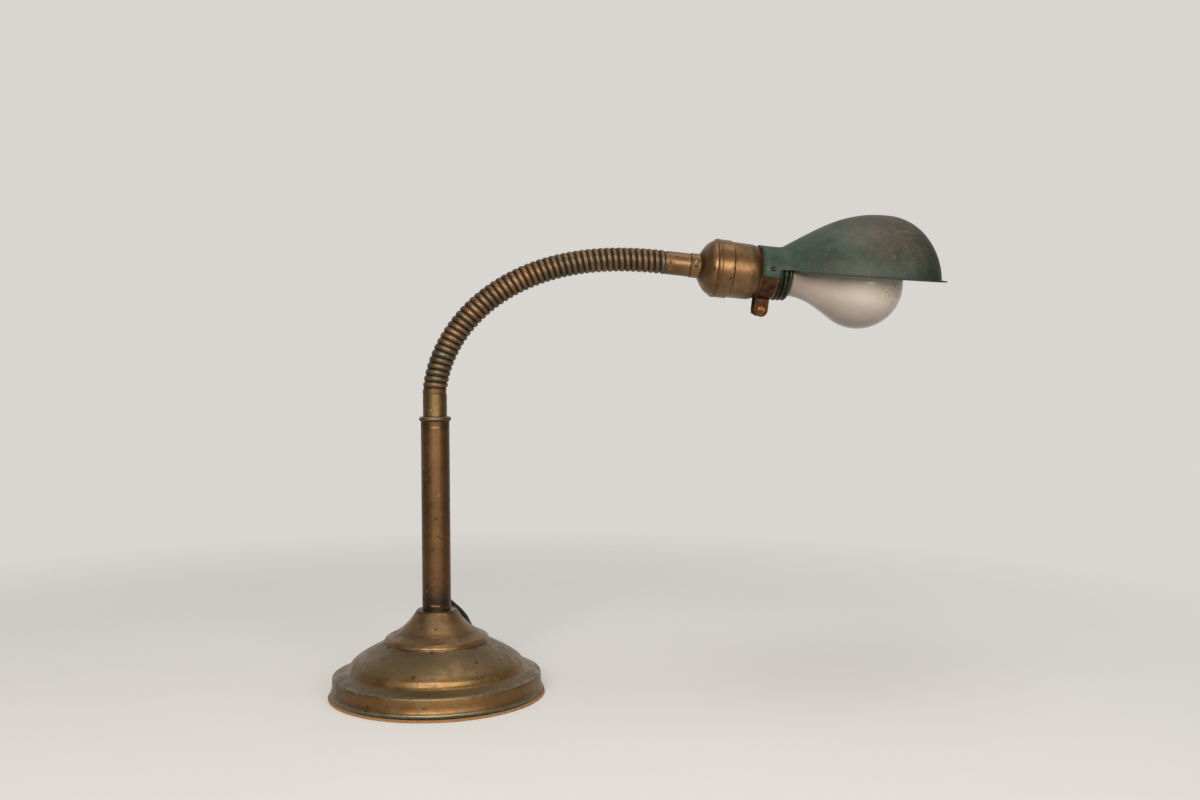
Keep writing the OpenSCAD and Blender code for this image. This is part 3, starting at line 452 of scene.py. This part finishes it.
def green_enamel():
    """Grey-green stoving enamel on sheet steel: cleaner teal on the tab, a purple-brown worn
    patch on the crown, rusty scratches, and painted shade darkening the green towards the nose."""
    f = Finish("worn_green_enamel", local=True, IOR=1.5, Specular_IOR_Level=0.3)
    a = f.add("SeparateXYZ", f.place, out="Z")
    cloud = f.add("TexNoise", f.place, Scale=grains(38), Detail=7, Roughness=0.62,
                  Distortion=0.3)
    grain = f.add("TexNoise", f.place, Scale=grains(4.8), Detail=8, Roughness=0.72)
    fine = f.add("TexNoise", f.place, Scale=grains(0.77), Detail=5, Roughness=0.65)
    base = f.add("ValToRGB", cloud, stops=((0.32, "253127"), (0.5, "344238"), (0.68, "455347")))
    # The worn patch is an oval on the side of the crown, ragged where the sheet is grained
    up, along = 38 * MM, 146 * MM
    half_high, half_long = 26 * MM, 34 * MM
    oval = f.add("VectorMath", f.place, (1 / half_high, 0, 1 / half_long), operation="MULTIPLY")
    off = f.add("VectorMath", oval, (up / half_high, 0, along / half_long),
                operation="SUBTRACT")
    patch = f.add("MapRange", f.add("VectorMath", off, operation="LENGTH"), 1.14, 0.5)
    patch = f.add("Math", patch, f.add("MapRange", grain, 0.38, 0.6, 0.2, 1),
                  operation="MULTIPLY")
    base = f.add("Mix", f.add("Math", patch, 0.8, operation="MULTIPLY"), base, "54473e",
                 data_type="RGBA")
    worn = f.add("TexNoise", f.place, Scale=grains(7.7), Detail=8, Roughness=0.75)
    base = f.add("Mix", f.add("MapRange", worn, 0.5, 0.6, 0, 0.38), base, "4a4236",
                 data_type="RGBA")
    # Painted shade: near-black green over the nose, where it turns away from the light
    base = f.add("Mix", f.add("MapRange", a, 156 * MM, 180 * MM, 0, 0.85), base, "141e17",
                 data_type="RGBA")
    base = f.add("Mix", f.add("MapRange", a, 78 * MM, 105 * MM, 0.7, 0), base, "2c433b",
                 data_type="RGBA")
    rust = f.add("TexNoise", f.place, Scale=grains(3.3), Detail=4, Roughness=0.6)
    rust = f.add("MapRange", rust, 0.665, 0.69, 0, 0.85)
    base = f.add("Mix", rust, base, "7d4b2c", data_type="RGBA")
    drawn = f.add("Mapping", f.place, Scale=(1, 1, 0.16))
    scratch = f.add("TexNoise", drawn, Scale=grains(4.8), Detail=3, Roughness=0.6)
    scratch = f.add("Math", f.add("MapRange", scratch, 0.63, 0.66, 0, 0.6), patch,
                    operation="MULTIPLY")
    base = f.add("Mix", scratch, base, "8f6142", data_type="RGBA")
    for noise_map, low, high in ((grain, 0.72, 1.28), (fine, 0.7, 1.3)):
        tint = f.add("MapRange", noise_map, 0.28, 0.72, low, high)
        base = f.add("Mix", 1.0, base, tint, data_type="RGBA", blend_type="MULTIPLY")
    dull = f.add("MapRange", grain, 0, 1, 0.3, 0.65)
    return f.close(base, dull, (grain, 0.12, 0.5), (fine, 0.04, 0.6), (rust, 0.06, 0.4))


def white_enamel():
    """Off-white enamel inside the shade, warmed by the bulb and dusty."""
    f = Finish("aged_white_enamel", local=True, IOR=1.5)
    cloud = f.add("TexNoise", f.place, Scale=grains(17), Detail=6, Roughness=0.6)
    specks = f.add("TexNoise", f.place, Scale=grains(2), Detail=4, Roughness=0.6)
    base = f.add("Mix", f.add("MapRange", cloud, 0.35, 0.7), "b9b3a2", "978d78",
                 data_type="RGBA")
    base = f.add("Mix", f.add("MapRange", specks, 0.62, 0.7, 0, 0.6), base, "6b5540",
                 data_type="RGBA")
    return f.close(base, f.add("MapRange", cloud, 0, 1, 0.25, 0.55), (cloud, 0.1, 0.3))


def frosted_glass():
    """Blown glass frosted on the inside: pale and soft, glossy outside, with dirt specks near the
    tip. Painted shade makes it brown towards its neck, for the socket seen through the glass,
    and greyer below."""
    f = Finish("frosted_bulb_glass", local=True, IOR=1.5, Coat_Weight=1.0, Coat_Roughness=0.04,
               Subsurface_Weight=0.3, Subsurface_Scale=0.008)
    a = f.add("SeparateXYZ", f.place, out="Z")
    up = f.add("SeparateXYZ", f.place, out="X")
    cloud = f.add("TexNoise", f.place, Scale=grains(25), Detail=5, Roughness=0.6)
    specks = f.add("TexNoise", f.place, Scale=grains(2.3), Detail=4, Roughness=0.6)
    base = f.add("Mix", f.add("MapRange", cloud, 0.35, 0.7), "dccabd", "ccb7aa",
                 data_type="RGBA")
    # Painted shade: darker brown towards the neck, for the socket seen through the glass
    base = f.add("Mix", f.add("MapRange", a, 88 * MM, 132 * MM, 0.75, 0), base, "7f6f62",
                 data_type="RGBA")
    # Painted shade: darker and greyer on the underside, below the axis
    base = f.add("Mix", f.add("MapRange", up, -12.5 * MM, -30 * MM, 0, 0.75), base, "5c4e44",
                 data_type="RGBA")
    specks = f.add("Math", f.add("MapRange", specks, 0.6, 0.64, 0, 0.7),
                   f.add("MapRange", a, 132 * MM, 158 * MM), operation="MULTIPLY")
    base = f.add("Mix", specks, base, "6a5a48", data_type="RGBA")
    return f.close(base, f.add("MapRange", cloud, 0, 1, 0.35, 0.55), (cloud, 0.04, 0.15))


ENAMEL = green_enamel()
ENAMEL_IN = white_enamel()
GLASS = frosted_glass()

# ---------------------------------------------------------------- cord

CORD_D = 5 * MM
ROUTE = [
    (0, 12, 61.9), (0, 17.2, 61.9), (0.9, 22.7, 61.1), (3.6, 28.4, 58.5), (7.6, 33.2, 54.2),
    (12.3, 37.1, 49.2), (16.7, 40.7, 44.6), (20.2, 44.9, 39.6), (22.9, 50.2, 33.6),
    (25, 55.9, 27.2), (26.8, 61.9, 20.8), (28.9, 68.3, 14.6), (31.1, 75, 9.2), (33.6, 82.3, 5.2),
    (36.3, 90.4, 3), (38.4, 99, 2.5), (40.6, 106, 2.5), (41, 111.4, 2.5),
]
TAIL = [
    (-33.6, 102, 9.2), (-31.4, 96, 11.5), (-27.8, 90.4, 14), (-22.8, 86.2, 15.8),
    (-17.6, 83.8, 16.5), (-14.6, 83.4, 16.6), (-12, 83.4, 16.6),
]
# The coil behind the base: its centre, the radii of its turns and the heights of its layers
COIL_AT = (3.5, 111.4)
COIL_RADII = (37.5, 32.5, 27.5, 22.5)
LAYERS = (2.5, 7.5)
COIL_STEPS = 24
SLEEVE_LEN, SLEEVE_STEPS, SLEEVE_SIDES = 22 * MM, 34, 24


def coil_points():
    """Four turns inwards on the table, four outwards on top of them, then half a turn."""
    turns = [(r, LAYERS[0]) for r in COIL_RADII] + [(r, LAYERS[1]) for r in COIL_RADII[::-1]]
    pts = []
    for k in range(len(turns) * COIL_STEPS + COIL_STEPS // 2 - 1):
        turn, part = divmod(k, COIL_STEPS)
        r0, z0 = turns[min(turn, len(turns) - 1)]
        r1, z1 = turns[min(turn + 1, len(turns) - 1)]
        # Each turn shifts to the next radius or layer over its last fifth
        w = min(max((part / COIL_STEPS - 0.8) / 0.2, 0), 1)
        w = w * w * (3 - 2 * w)
        r, z = r0 + w * (r1 - r0), z0 + w * (z1 - z0)
        t = 2 * math.pi * (k + 1) / COIL_STEPS
        pts.append((COIL_AT[0] + r * math.cos(t), COIL_AT[1] + r * math.sin(t), z))
    return pts


def make_cord():
    """The cord from the back of the post through its coil to the plug, as one round curve."""
    pts = ROUTE + coil_points() + TAIL
    data = bpy.data.curves.new("cord", "CURVE")
    data.dimensions = "3D"
    data.bevel_depth = CORD_D / 2
    data.bevel_resolution = 5
    spline = data.splines.new("POLY")
    spline.points.add(len(pts) - 1)
    for p, q in zip(spline.points, pts):
        p.co = (*[c * MM for c in q], 1)
    spline.use_smooth = True
    obj = bpy.data.objects.new("mains_cord", data)
    bpy.context.scene.collection.objects.link(obj)
    data.materials.append(RUBBER.material)
    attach(obj, "base")
    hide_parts("cord_tube", "cord_coil", "cord_tail")
    return obj


def strain_relief():
    """A tapered ribbed sleeve over the start of the cord, closed down onto it at its end."""
    path = [Vector(p) * MM for p in ROUTE[:6]]
    marks = [0.0]
    for a, b in zip(path, path[1:]):
        marks.append(marks[-1] + (b - a).length)

    def at(s):
        for i in range(len(path) - 1):
            if s <= marks[i + 1]:
                return path[i].lerp(path[i + 1], (s - marks[i]) / (marks[i + 1] - marks[i]))
        return path[-1]

    verts, faces, rings = [], [], []
    for i in range(SLEEVE_STEPS + 1):
        s = SLEEVE_LEN * i / SLEEVE_STEPS
        p = at(s)
        d = (at(s + 2 * MM) - at(max(s - 2 * MM, 0))).normalized()
        side = d.cross(Vector((0, 0, 1))).normalized()
        up = side.cross(d)
        rib = 0.22 if i % 4 < 2 else 0
        r = (4.1 - 1.2 * i / SLEEVE_STEPS + rib if i < SLEEVE_STEPS else 2.55) * MM
        rings.append(len(verts))
        for k in range(SLEEVE_SIDES):
            t = 2 * math.pi * k / SLEEVE_SIDES
            verts.append(p + r * (math.cos(t) * side + math.sin(t) * up))
    for a, b in zip(rings, rings[1:]):
        for k in range(SLEEVE_SIDES):
            n = (k + 1) % SLEEVE_SIDES
            faces.append((a + k, a + n, b + n, b + k))
    faces.append(tuple(range(SLEEVE_SIDES))[::-1])
    mesh = mesh_of(verts, faces, "strain_relief", 50)
    return link(mesh, "strain_relief", "base", [RUBBER])


cord = make_cord()
relief = strain_relief()
[c * MM for c in ROUTE[0]]

# ---------------------------------------------------------------- wound neck

WIRE_ROOT, WIRE_RISE, WIRE_HALF = 7.0, 0.95, 1.72
TURN_STEPS = 44
FOOT_LEN, FOOT_R = 2 * MM, 7.5
# How far a turn may stand in or out, so that the neck isn't machine-perfect
WOBBLE = 0.04


def winding_profile():
    """Section of one turn, (radius, place along the neck) in mm: the broad rounded wire, a
    narrow valley where the strip under it shows, and the strip's tongue, which reaches under
    the next turn and shows where a bend opens the gap."""
    wire = [(WIRE_ROOT + WIRE_RISE * math.sqrt(1 - (z / WIRE_HALF) ** 2), z)
            for z in (-1.68, -1.55, -1.3, -1.0, -0.6, 0, 0.6, 1.0, 1.3, 1.55, 1.68)]
    valley = [(7.06, -2.0), (7.03, -1.87), (6.7, -1.79)]
    tongue = [(6.7, 1.79), (7.03, 1.87), (7.06, 1.98), (6.1, 2.05), (6.0, 3.9)]
    return valley + wire + tongue


def wind(s0, s1):
    """The winding between two lengths up the neck, as one ribbon along a helix."""
    prof = winding_profile()
    first = round(s0 / TURN_PITCH * TURN_STEPS)
    last = round(s1 / TURN_PITCH * TURN_STEPS)
    verts, faces, local = [], [], []
    m = len(prof)
    for k in range(first, last + 1):
        s = k * TURN_PITCH / TURN_STEPS
        t = 2 * math.pi * k / TURN_STEPS
        wobble = WOBBLE * noise.noise(Vector((s * 220, 0.3, 0)))
        for r, z in prof:
            here = s + z * MM
            h = heading(here)
            side = Vector((math.cos(h), 0, -math.sin(h)))
            if here < FOOT_LEN:
                # The first turn is squeezed into the ferrule
                r = min(r, FOOT_R)
            r = (r + wobble) * MM
            verts.append(station(here) + r * (math.cos(t) * side + Vector((0, math.sin(t), 0))))
            local.append((r * math.cos(t), r * math.sin(t), here))
    for k in range(last - first):
        for i in range(m - 1):
            a = k * m + i
            faces.append((a, a + m, a + m + 1, a + 1))
    # The cut ends are closed, apart from the thin tongue
    cut = list(range(1, m - 3))
    faces += [tuple(cut[::-1]), tuple(len(verts) - m + i for i in cut)]
    mesh = mesh_of(verts, faces, "winding", 50)
    mark(mesh, local)
    return mesh


def make_neck():
    """One ribbon per link, cut along the helical seam where the links hinge."""
    links = ["link_%02d" % k for k in range(1, LINKS + 1)]
    bodies = ["base"] + links + ["head"]
    nodes = ["neck_foot"] + ["neck_" + name for name in links] + ["neck_tip"]
    cuts = [-TURN_PITCH / 2] + [TURN_PITCH + LINK_LEN * k for k in range(LINKS + 1)] + [NECK_LEN]
    for k, (body, node) in enumerate(zip(bodies, nodes)):
        mesh = wind(cuts[k], cuts[k + 1])
        link(mesh, "winding_%02d" % k, body, [NECK_BRONZE], nodes=[node])


make_neck()

# ---------------------------------------------------------------- base

BASE_SHEET = 0.9
PAD_R, PAD_H = 70, 1.4
# The pad's faces stop a hair short of the axis
CENTRE = 0.01


def base_line():
    """Outside of the spun base, (radius, height) in mm, from its foot to the post."""
    line = [
        (67.0, 2.2), (67.7, 2.25), (68.2, 2.5), (68.55, 2.9), (68.6, 3.3), (68.5, 3.8),
        (68.2, 4.3), (67.75, 4.65), (67.6, 4.9), (67.45, 8.5), (67.3, 12.6), (67.2, 13.1),
        (66.95, 13.6), (66.6, 13.8), (66.3, 13.9),
    ]
    # Sloping ring, its fillet, the dome, the bead step, the bell and the flat at the post
    line += curve((65.2, 14.1), (63.2, 14.7), (61.2, 15.3), (59.1, 16.0), 4)
    line += curve((58.8, 16.1), (57.5, 16.5), (56.6, 17.5), (56.2, 19.2), 8)
    line += curve((56.1, 19.7), (54.8, 24.6), (41.5, 30.3), (33.9, 34.6), 28)
    line += curve((33.8, 34.8), (34.2, 36.9), (32.2, 38.0), (30.5, 38.7), 10)
    line += curve((30.2, 38.8), (24.5, 41.2), (18.0, 46.4), (13.3, 54.1), 26)
    return line + [(13.1, 54.5), (12.6, 54.9), (11.5, 54.9), (5.3, 54.9)]


def dents(r, z, t):
    """Slight waviness and small dents of old spun sheet, dying out towards the post."""
    p = Vector((math.cos(t) * 2.2, math.sin(t) * 2.2, z * 0.05))
    d = 0.14 * noise.noise(p) + 0.07 * noise.noise(p * 4.1)
    return r + d * min(1, max(0, (r - 15) / 20)), z


def ragged(r, z, t):
    """The crumbled edge of the cork."""
    if r > 60:
        r -= abs(0.45 * noise.noise(Vector((math.cos(t) * 9, math.sin(t) * 9, 0))))
    return r, z


def make_base():
    """The spun base, and the cork pad under it with an edge rounded by wear."""
    line = base_line()
    mesh = mesh_of(*lathe(line + inner(line, BASE_SHEET), 192, dents), "spun_base", 38)
    link(mesh, "spun_base", "base", [BASE_BRASS], nodes=["base_shell"])
    pad = [(CENTRE, 0), (PAD_R - 0.4, 0), (PAD_R, 0.35), (PAD_R, 0.9), (PAD_R - 0.5, 1.25),
           (CENTRE, PAD_H)]
    mesh = mesh_of(*lathe(pad, 192, ragged), "pad", 50)
    link(mesh, "cork_foot", "base", [CORK], nodes=["cork_pad"])


make_base()

# ---------------------------------------------------------------- bulb

# Heights are mm along the head's axis, from the end of the neck
CONTACT_A, CAP_END = 59.75, 85.75
GLOBE_A, GLOBE_R, GLASS_WALL = 136.25, 30.5, 0.8
THREAD_R, THREAD_DEPTH, THREAD_PITCH = 12.88, 0.75, 3.629
THREAD_END = CAP_END - 2.4


def threaded(r, z, t):
    """Rounded right-hand thread rolled into the cap."""
    if r > THREAD_R - 0.03 and z < THREAD_END:
        r -= THREAD_DEPTH * 0.5 * (1 - math.cos(2 * math.pi * (z / THREAD_PITCH) - t))
    return r, z


def make_bulb():
    """The blown globe, open into its neck, and the screw cap."""
    line = [(12.05, CAP_END - 6), (12.05, CAP_END), (12.9, CAP_END + 0.5)]
    line += curve((13.25, CAP_END + 2), (13.25, CAP_END + 14), (19.41, GLOBE_A - 27.25),
                  (26.41, GLOBE_A - 15.25), 22)
    # The globe, from 60 degrees round at its neck to its crown
    for i in range(1, 36):
        t = math.radians(60 + i * 120 / 36)
        line.append((GLOBE_R * math.sin(t), GLOBE_A - GLOBE_R * math.cos(t)))
    line.append((0.4, GLOBE_A + GLOBE_R))
    mesh = mesh_of(*lathe(line + inner(line, GLASS_WALL), 96), "globe", 50)
    link(mesh, "bulb_globe", "bulb", [GLASS], HEAD, ["bulb_glass"])

    cap = [(10.5, CONTACT_A + 2.6), (11.7, CONTACT_A + 2.6), (12.3, CONTACT_A + 3.6)]
    cap += [(THREAD_R, CONTACT_A + 4.6 + i * 0.3) for i in range(60)]
    cap += [(THREAD_R, THREAD_END), (12.7, CAP_END - 0.2), (12.2, CAP_END - 0.1)]
    cap += [(11.9, CAP_END - 1), (11.6, CONTACT_A + 5), (10.5, CONTACT_A + 3.4)]
    mesh = mesh_of(*lathe(cap, 96, threaded), "bulb_screw", 60)
    link(mesh, "bulb_screw", "bulb", [ALUMINIUM], HEAD, ["bulb_cap"])


make_bulb()

# ---------------------------------------------------------------- shade

CLAMP_R, SHEET = 17.8, 0.8
CLAMP_A, NOTCH_A, CREASE_A, WIDEST_A = 65.15, 77.35, 81.35, 152.35
TAB_R, SHADE_R, NOSE = CLAMP_R + SHEET, 48.4, 39.5
# The tab ends this far off the axis, and the rim's plane rises from RIM_LOW at the crease
TAB_LOW = -2
RIM_LOW, RIM_SLOPE = 4.0, math.tan(math.radians(2.7))
RIM_AT = Vector((RIM_LOW * MM, 0, CREASE_A * MM))
RIM_UP = Vector((1, 0, -RIM_SLOPE)).normalized()
RIM_START, RIM_EASE = 84, 5
# How far the rim reaches out and drops, ring by ring
FLANGE = ((0.5, 0.12), (1.2, 0.3), (2.4, 0.38), (3.6, 0.4))
SHADE_STEPS = 160


def shade_profile():
    """Outer radius along the socket's axis, (radius, a), from the clamp to the nose."""
    line = [(TAB_R, CLAMP_A - 1), (TAB_R, CLAMP_A + 4), (TAB_R + 0.05, 74.3)]
    line += [(TAB_R + 0.12, NOTCH_A), (TAB_R + 0.35, 79.4)]
    line += curve((19.5, CREASE_A), (39.5, CREASE_A + 30), (SHADE_R, WIDEST_A - 26),
                  (SHADE_R, WIDEST_A), 34)
    for i in range(1, 30):
        t = math.radians(90 - i * 90 / 30)
        line.append((SHADE_R * math.sin(t), WIDEST_A + NOSE * math.cos(t)))
    return line


def turned_sheet():
    """The whole turned form of the shade, slightly dented, as one skin."""
    bm = bmesh.new()
    rings = []
    for r, a in shade_profile():
        ring = []
        for j in range(SHADE_STEPS):
            t = 2 * math.pi * j / SHADE_STEPS
            d = 0.0
            if a > 90:
                q = Vector((math.cos(t) * 1.6, math.sin(t) * 1.6, a * 0.035))
                d = 0.22 * noise.noise(q) + 0.08 * noise.noise(q * 3.7)
            ring.append(bm.verts.new(((r + d) * math.cos(t) * MM, (r + d) * math.sin(t) * MM,
                                      a * MM)))
        rings.append(ring)
    for a, b in zip(rings, rings[1:]):
        for j in range(SHADE_STEPS):
            k = (j + 1) % SHADE_STEPS
            bm.faces.new((a[j], a[k], b[k], b[j]))
    tip = bm.verts.new((0, 0, (WIDEST_A + NOSE) * MM))
    for j in range(SHADE_STEPS):
        bm.faces.new((rings[-1][j], rings[-1][(j + 1) % SHADE_STEPS], tip))
    return bm


def cut_half(bm):
    """Cuts the bowl at the plane of the rim, and the tab just under the axis."""
    bowl = [f for f in bm.faces if f.calc_center_median().z > NOTCH_A * MM]
    tab = [f for f in bm.faces if f.calc_center_median().z < NOTCH_A * MM]
    tab_at = Vector((TAB_LOW * MM, 0, 0))
    for faces, at, up in ((tab, tab_at, Vector((1, 0, 0))), (bowl, RIM_AT, RIM_UP)):
        geom = faces + list(dict.fromkeys(e for f in faces for e in f.edges))
        geom += list(dict.fromkeys(v for f in faces for v in f.verts))
        bmesh.ops.bisect_plane(bm, geom=geom, dist=1e-7, plane_co=at, plane_no=up)
    low = []
    for f in bm.faces:
        middle = f.calc_center_median()
        on_bowl = middle.z > NOTCH_A * MM
        if on_bowl and (middle - RIM_AT).dot(RIM_UP) < 0:
            low.append(f)
        elif not on_bowl and middle.x < TAB_LOW * MM:
            low.append(f)
    bmesh.ops.delete(bm, geom=low, context="FACES")


def turn_out_rim(bm):
    """Turns the edge of the bowl outward as a flange, which starts a little past the tab."""
    rim = [e for e in bm.edges if e.is_boundary
           and all(abs((v.co - RIM_AT).dot(RIM_UP)) < 2e-6 and v.co.z > RIM_START * MM
                   for v in e.verts)]
    outward = {v: (v.normal - v.normal.dot(RIM_UP) * RIM_UP).normalized()
               for e in rim for v in e.verts}
    previous = {v: v for v in outward}
    for reach, drop in FLANGE:
        fresh = {}
        for v, out in outward.items():
            ease = min(1, (v.co.z - RIM_START * MM) / (RIM_EASE * MM))
            fresh[v] = bm.verts.new(v.co + ease * reach * MM * out - drop * MM * RIM_UP * ease)
        for e in rim:
            a, b = e.verts
            bm.faces.new((previous[a], previous[b], fresh[b], fresh[a]))
        previous = fresh


def make_shade():
    """The half shade, green outside and white inside, as sheet of one thickness."""
    bm = turned_sheet()
    cut_half(bm)
    turn_out_rim(bm)
    bmesh.ops.remove_doubles(bm, verts=bm.verts, dist=1e-6)
    bmesh.ops.recalc_face_normals(bm, faces=bm.faces)
    mesh = bpy.data.meshes.new("half_shade")
    bm.to_mesh(mesh)
    bm.free()
    sharpen(mesh, 40)
    obj = link(mesh, "half_shade", "shade", [ENAMEL, ENAMEL_IN], SHADE,
               ["shade_shell"])
    top = max(mesh.polygons, key=lambda p: p.center.x)
    solid = obj.modifiers.new("sheet", "SOLIDIFY")
    solid.thickness = SHEET * MM
    solid.offset = -1 if top.normal.x > 0 else 1
    solid.use_even_offset = True
    solid.material_offset = 1
    solid.material_offset_rim = 0


make_shade()

# ---------------------------------------------------------------- finishes of the CAD nodes

FINISH_OF = {
    "base_weight": IRON, "felt_ring": FELT, "base_pipe": ZINC_STEEL, "base_nut": ZINC_STEEL,
    "base_washer": ZINC_STEEL, "post_tube": POST_BRASS, "post_foot_plug": ZINC_STEEL,
    "post_collar": FERRULE_BRASS, "cord_bushing": RUBBER, "post_lead": RUBBER,
    "lower_ferrule": FERRULE_BRASS, "upper_ferrule": TIP_BRASS, "cap_bushing": TIP_BRASS,
    "cap_screw": SCREW_BRASS, "socket_cap": SOCKET_BRASS, "socket_shell": SOCKET_BRASS,
    "shell_liner": FIBRE, "socket_core": PORCELAIN, "screw_shell": CONTACT_BRASS,
    "centre_contact": CONTACT_BRASS, "terminal_screws": CONTACT_BRASS, "socket_leads": RUBBER,
    "mouth_ring": MOUTH_BRASS, "key_shaft": CONTACT_BRASS, "turn_key": PHENOLIC,
    "bulb_contact": SOLDER, "bulb_insulator": BLACK_GLASS, "bulb_stem": STEM_GLASS,
    "shade_clamp": COPPER, "shade_rivets": COPPER, "clamp_screw": SCREW_COPPER,
    "clamp_nut": SCREW_COPPER, "plug_body": PLUG, "plug_blades": CONTACT_BRASS,
}
# Nodes turned about the head's axis, so the bands and rings of their brass follow it
ON_HEAD = {"upper_ferrule", "cap_bushing", "cap_screw", "socket_cap", "socket_shell",
           "mouth_ring", "shell_liner", "screw_shell"}
for node, finish in FINISH_OF.items():
    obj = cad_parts[node]
    obj.data.materials.clear()
    obj.data.materials.append(finish.material)
    sharpen(obj.data, 35)
    own = HEAD.inverted() if node in ON_HEAD else Matrix.Identity(4)
    mark(obj.data, [own @ v.co for v in obj.data.vertices])

# ---------------------------------------------------------------- floor and light

FLOOR_HALF, FLOOR_DROP = 3, 0.0002
FADE_FROM, FADE_TO = 0.3, 0.85


def make_floor():
    """A matt pale board. To the camera it is as pale as the backdrop, and it thins out into
    the backdrop with the distance from the lamp. It lies a hair under the pad."""
    f = Finish("matt_pale_board", Roughness=0.9, Specular_IOR_Level=0.1)
    mottle = f.add("TexNoise", f.place, Scale=grains(170), Detail=4, Roughness=0.5)
    shade = f.add("Mix", mottle, "e0e1e1", "d9dada", data_type="RGBA")
    lift = f.add("Math", f.add("LightPath", out="Is Camera Ray"), 0.15, operation="MULTIPLY")
    f.shader.inputs["Emission Color"].default_value = srgb("f2eee8")
    f.tree.links.new(shade, f.shader.inputs["Base Color"])
    f.tree.links.new(lift, f.shader.inputs["Emission Strength"])
    flat = f.add("VectorMath", f.place, (1, 1, 0), operation="MULTIPLY")
    gone = f.add("MapRange", f.add("VectorMath", flat, operation="LENGTH"), FADE_FROM, FADE_TO,
                 interpolation_type="SMOOTHSTEP")
    board = f.add("MixShader", gone, f.shader.outputs[0], f.add("BsdfTransparent"))
    f.tree.links.new(board, f.tree.nodes["Material Output"].inputs["Surface"])
    h = FLOOR_HALF
    mesh = bpy.data.meshes.new("floor")
    mesh.from_pydata([(-h, -h, 0), (h, -h, 0), (h, h, 0), (-h, h, 0)], [], [(0, 1, 2, 3)])
    floor = bpy.data.objects.new("floor", mesh)
    mesh.materials.append(f.material)
    bpy.context.scene.collection.objects.link(floor)
    floor.location.z = -FLOOR_DROP


def make_room():
    """The world fills the shadows. Metal mirrors a room that is pale behind the lamp, dim at
    its sides and lit in front; the camera and clear glass see the pale backdrop."""
    world = bpy.data.worlds.new("studio")
    bpy.context.scene.world = world
    world.use_nodes = True
    tree = world.node_tree
    along = add(tree, "SeparateXYZ", add(tree, "TexCoord", out="Generated"), out="Y")
    tone = add(tree, "ValToRGB", add(tree, "MapRange", along, -1, 0.9),
               stops=((0, "a09a90"), (0.4, "49453e"), (0.6, "4d4942"), (1, "d9d6d2")))
    room = add(tree, "Background", tone, 1)
    fill = add(tree, "Background", "d6d3cf", 0.36)
    backdrop = add(tree, "Background", "d9d6d2", 1)
    lit = add(tree, "MixShader", add(tree, "LightPath", out="Is Glossy Ray"), fill, room)
    seen = add(tree, "Math", add(tree, "LightPath", out="Is Camera Ray"),
               add(tree, "LightPath", out="Is Transmission Ray"), operation="MAXIMUM")
    lit = add(tree, "MixShader", seen, lit, backdrop)
    tree.links.new(lit, tree.nodes["World Output"].inputs["Surface"])


LIT_AT = Vector((0.12, 0, 0.18))


def softbox(name, at, size, watts, tint):
    """A rectangular soft light that points at the middle of the lamp."""
    data = bpy.data.lights.new(name, "AREA")
    data.shape = "RECTANGLE"
    data.size, data.size_y = size
    data.energy = watts
    data.color = srgb(tint)[:3]
    light = bpy.data.objects.new(name, data)
    light.location = at
    light.rotation_euler = (LIT_AT - Vector(at)).to_track_quat("-Z", "Y").to_euler()
    bpy.context.scene.collection.objects.link(light)


make_floor()
make_room()
# The left one models the round forms, the right one lights the flat front of the socket
softbox("left_window", (-0.45, -1.8, 0.82), (1.0, 0.8), 27, "fff6ea")
softbox("right_window", (0.68, -1.75, 0.55), (0.7, 0.7), 10, "fff8ee")
softbox("top_fill", (0.2, -0.1, 1.7), (1.4, 1.0), 8, "fffaf4")
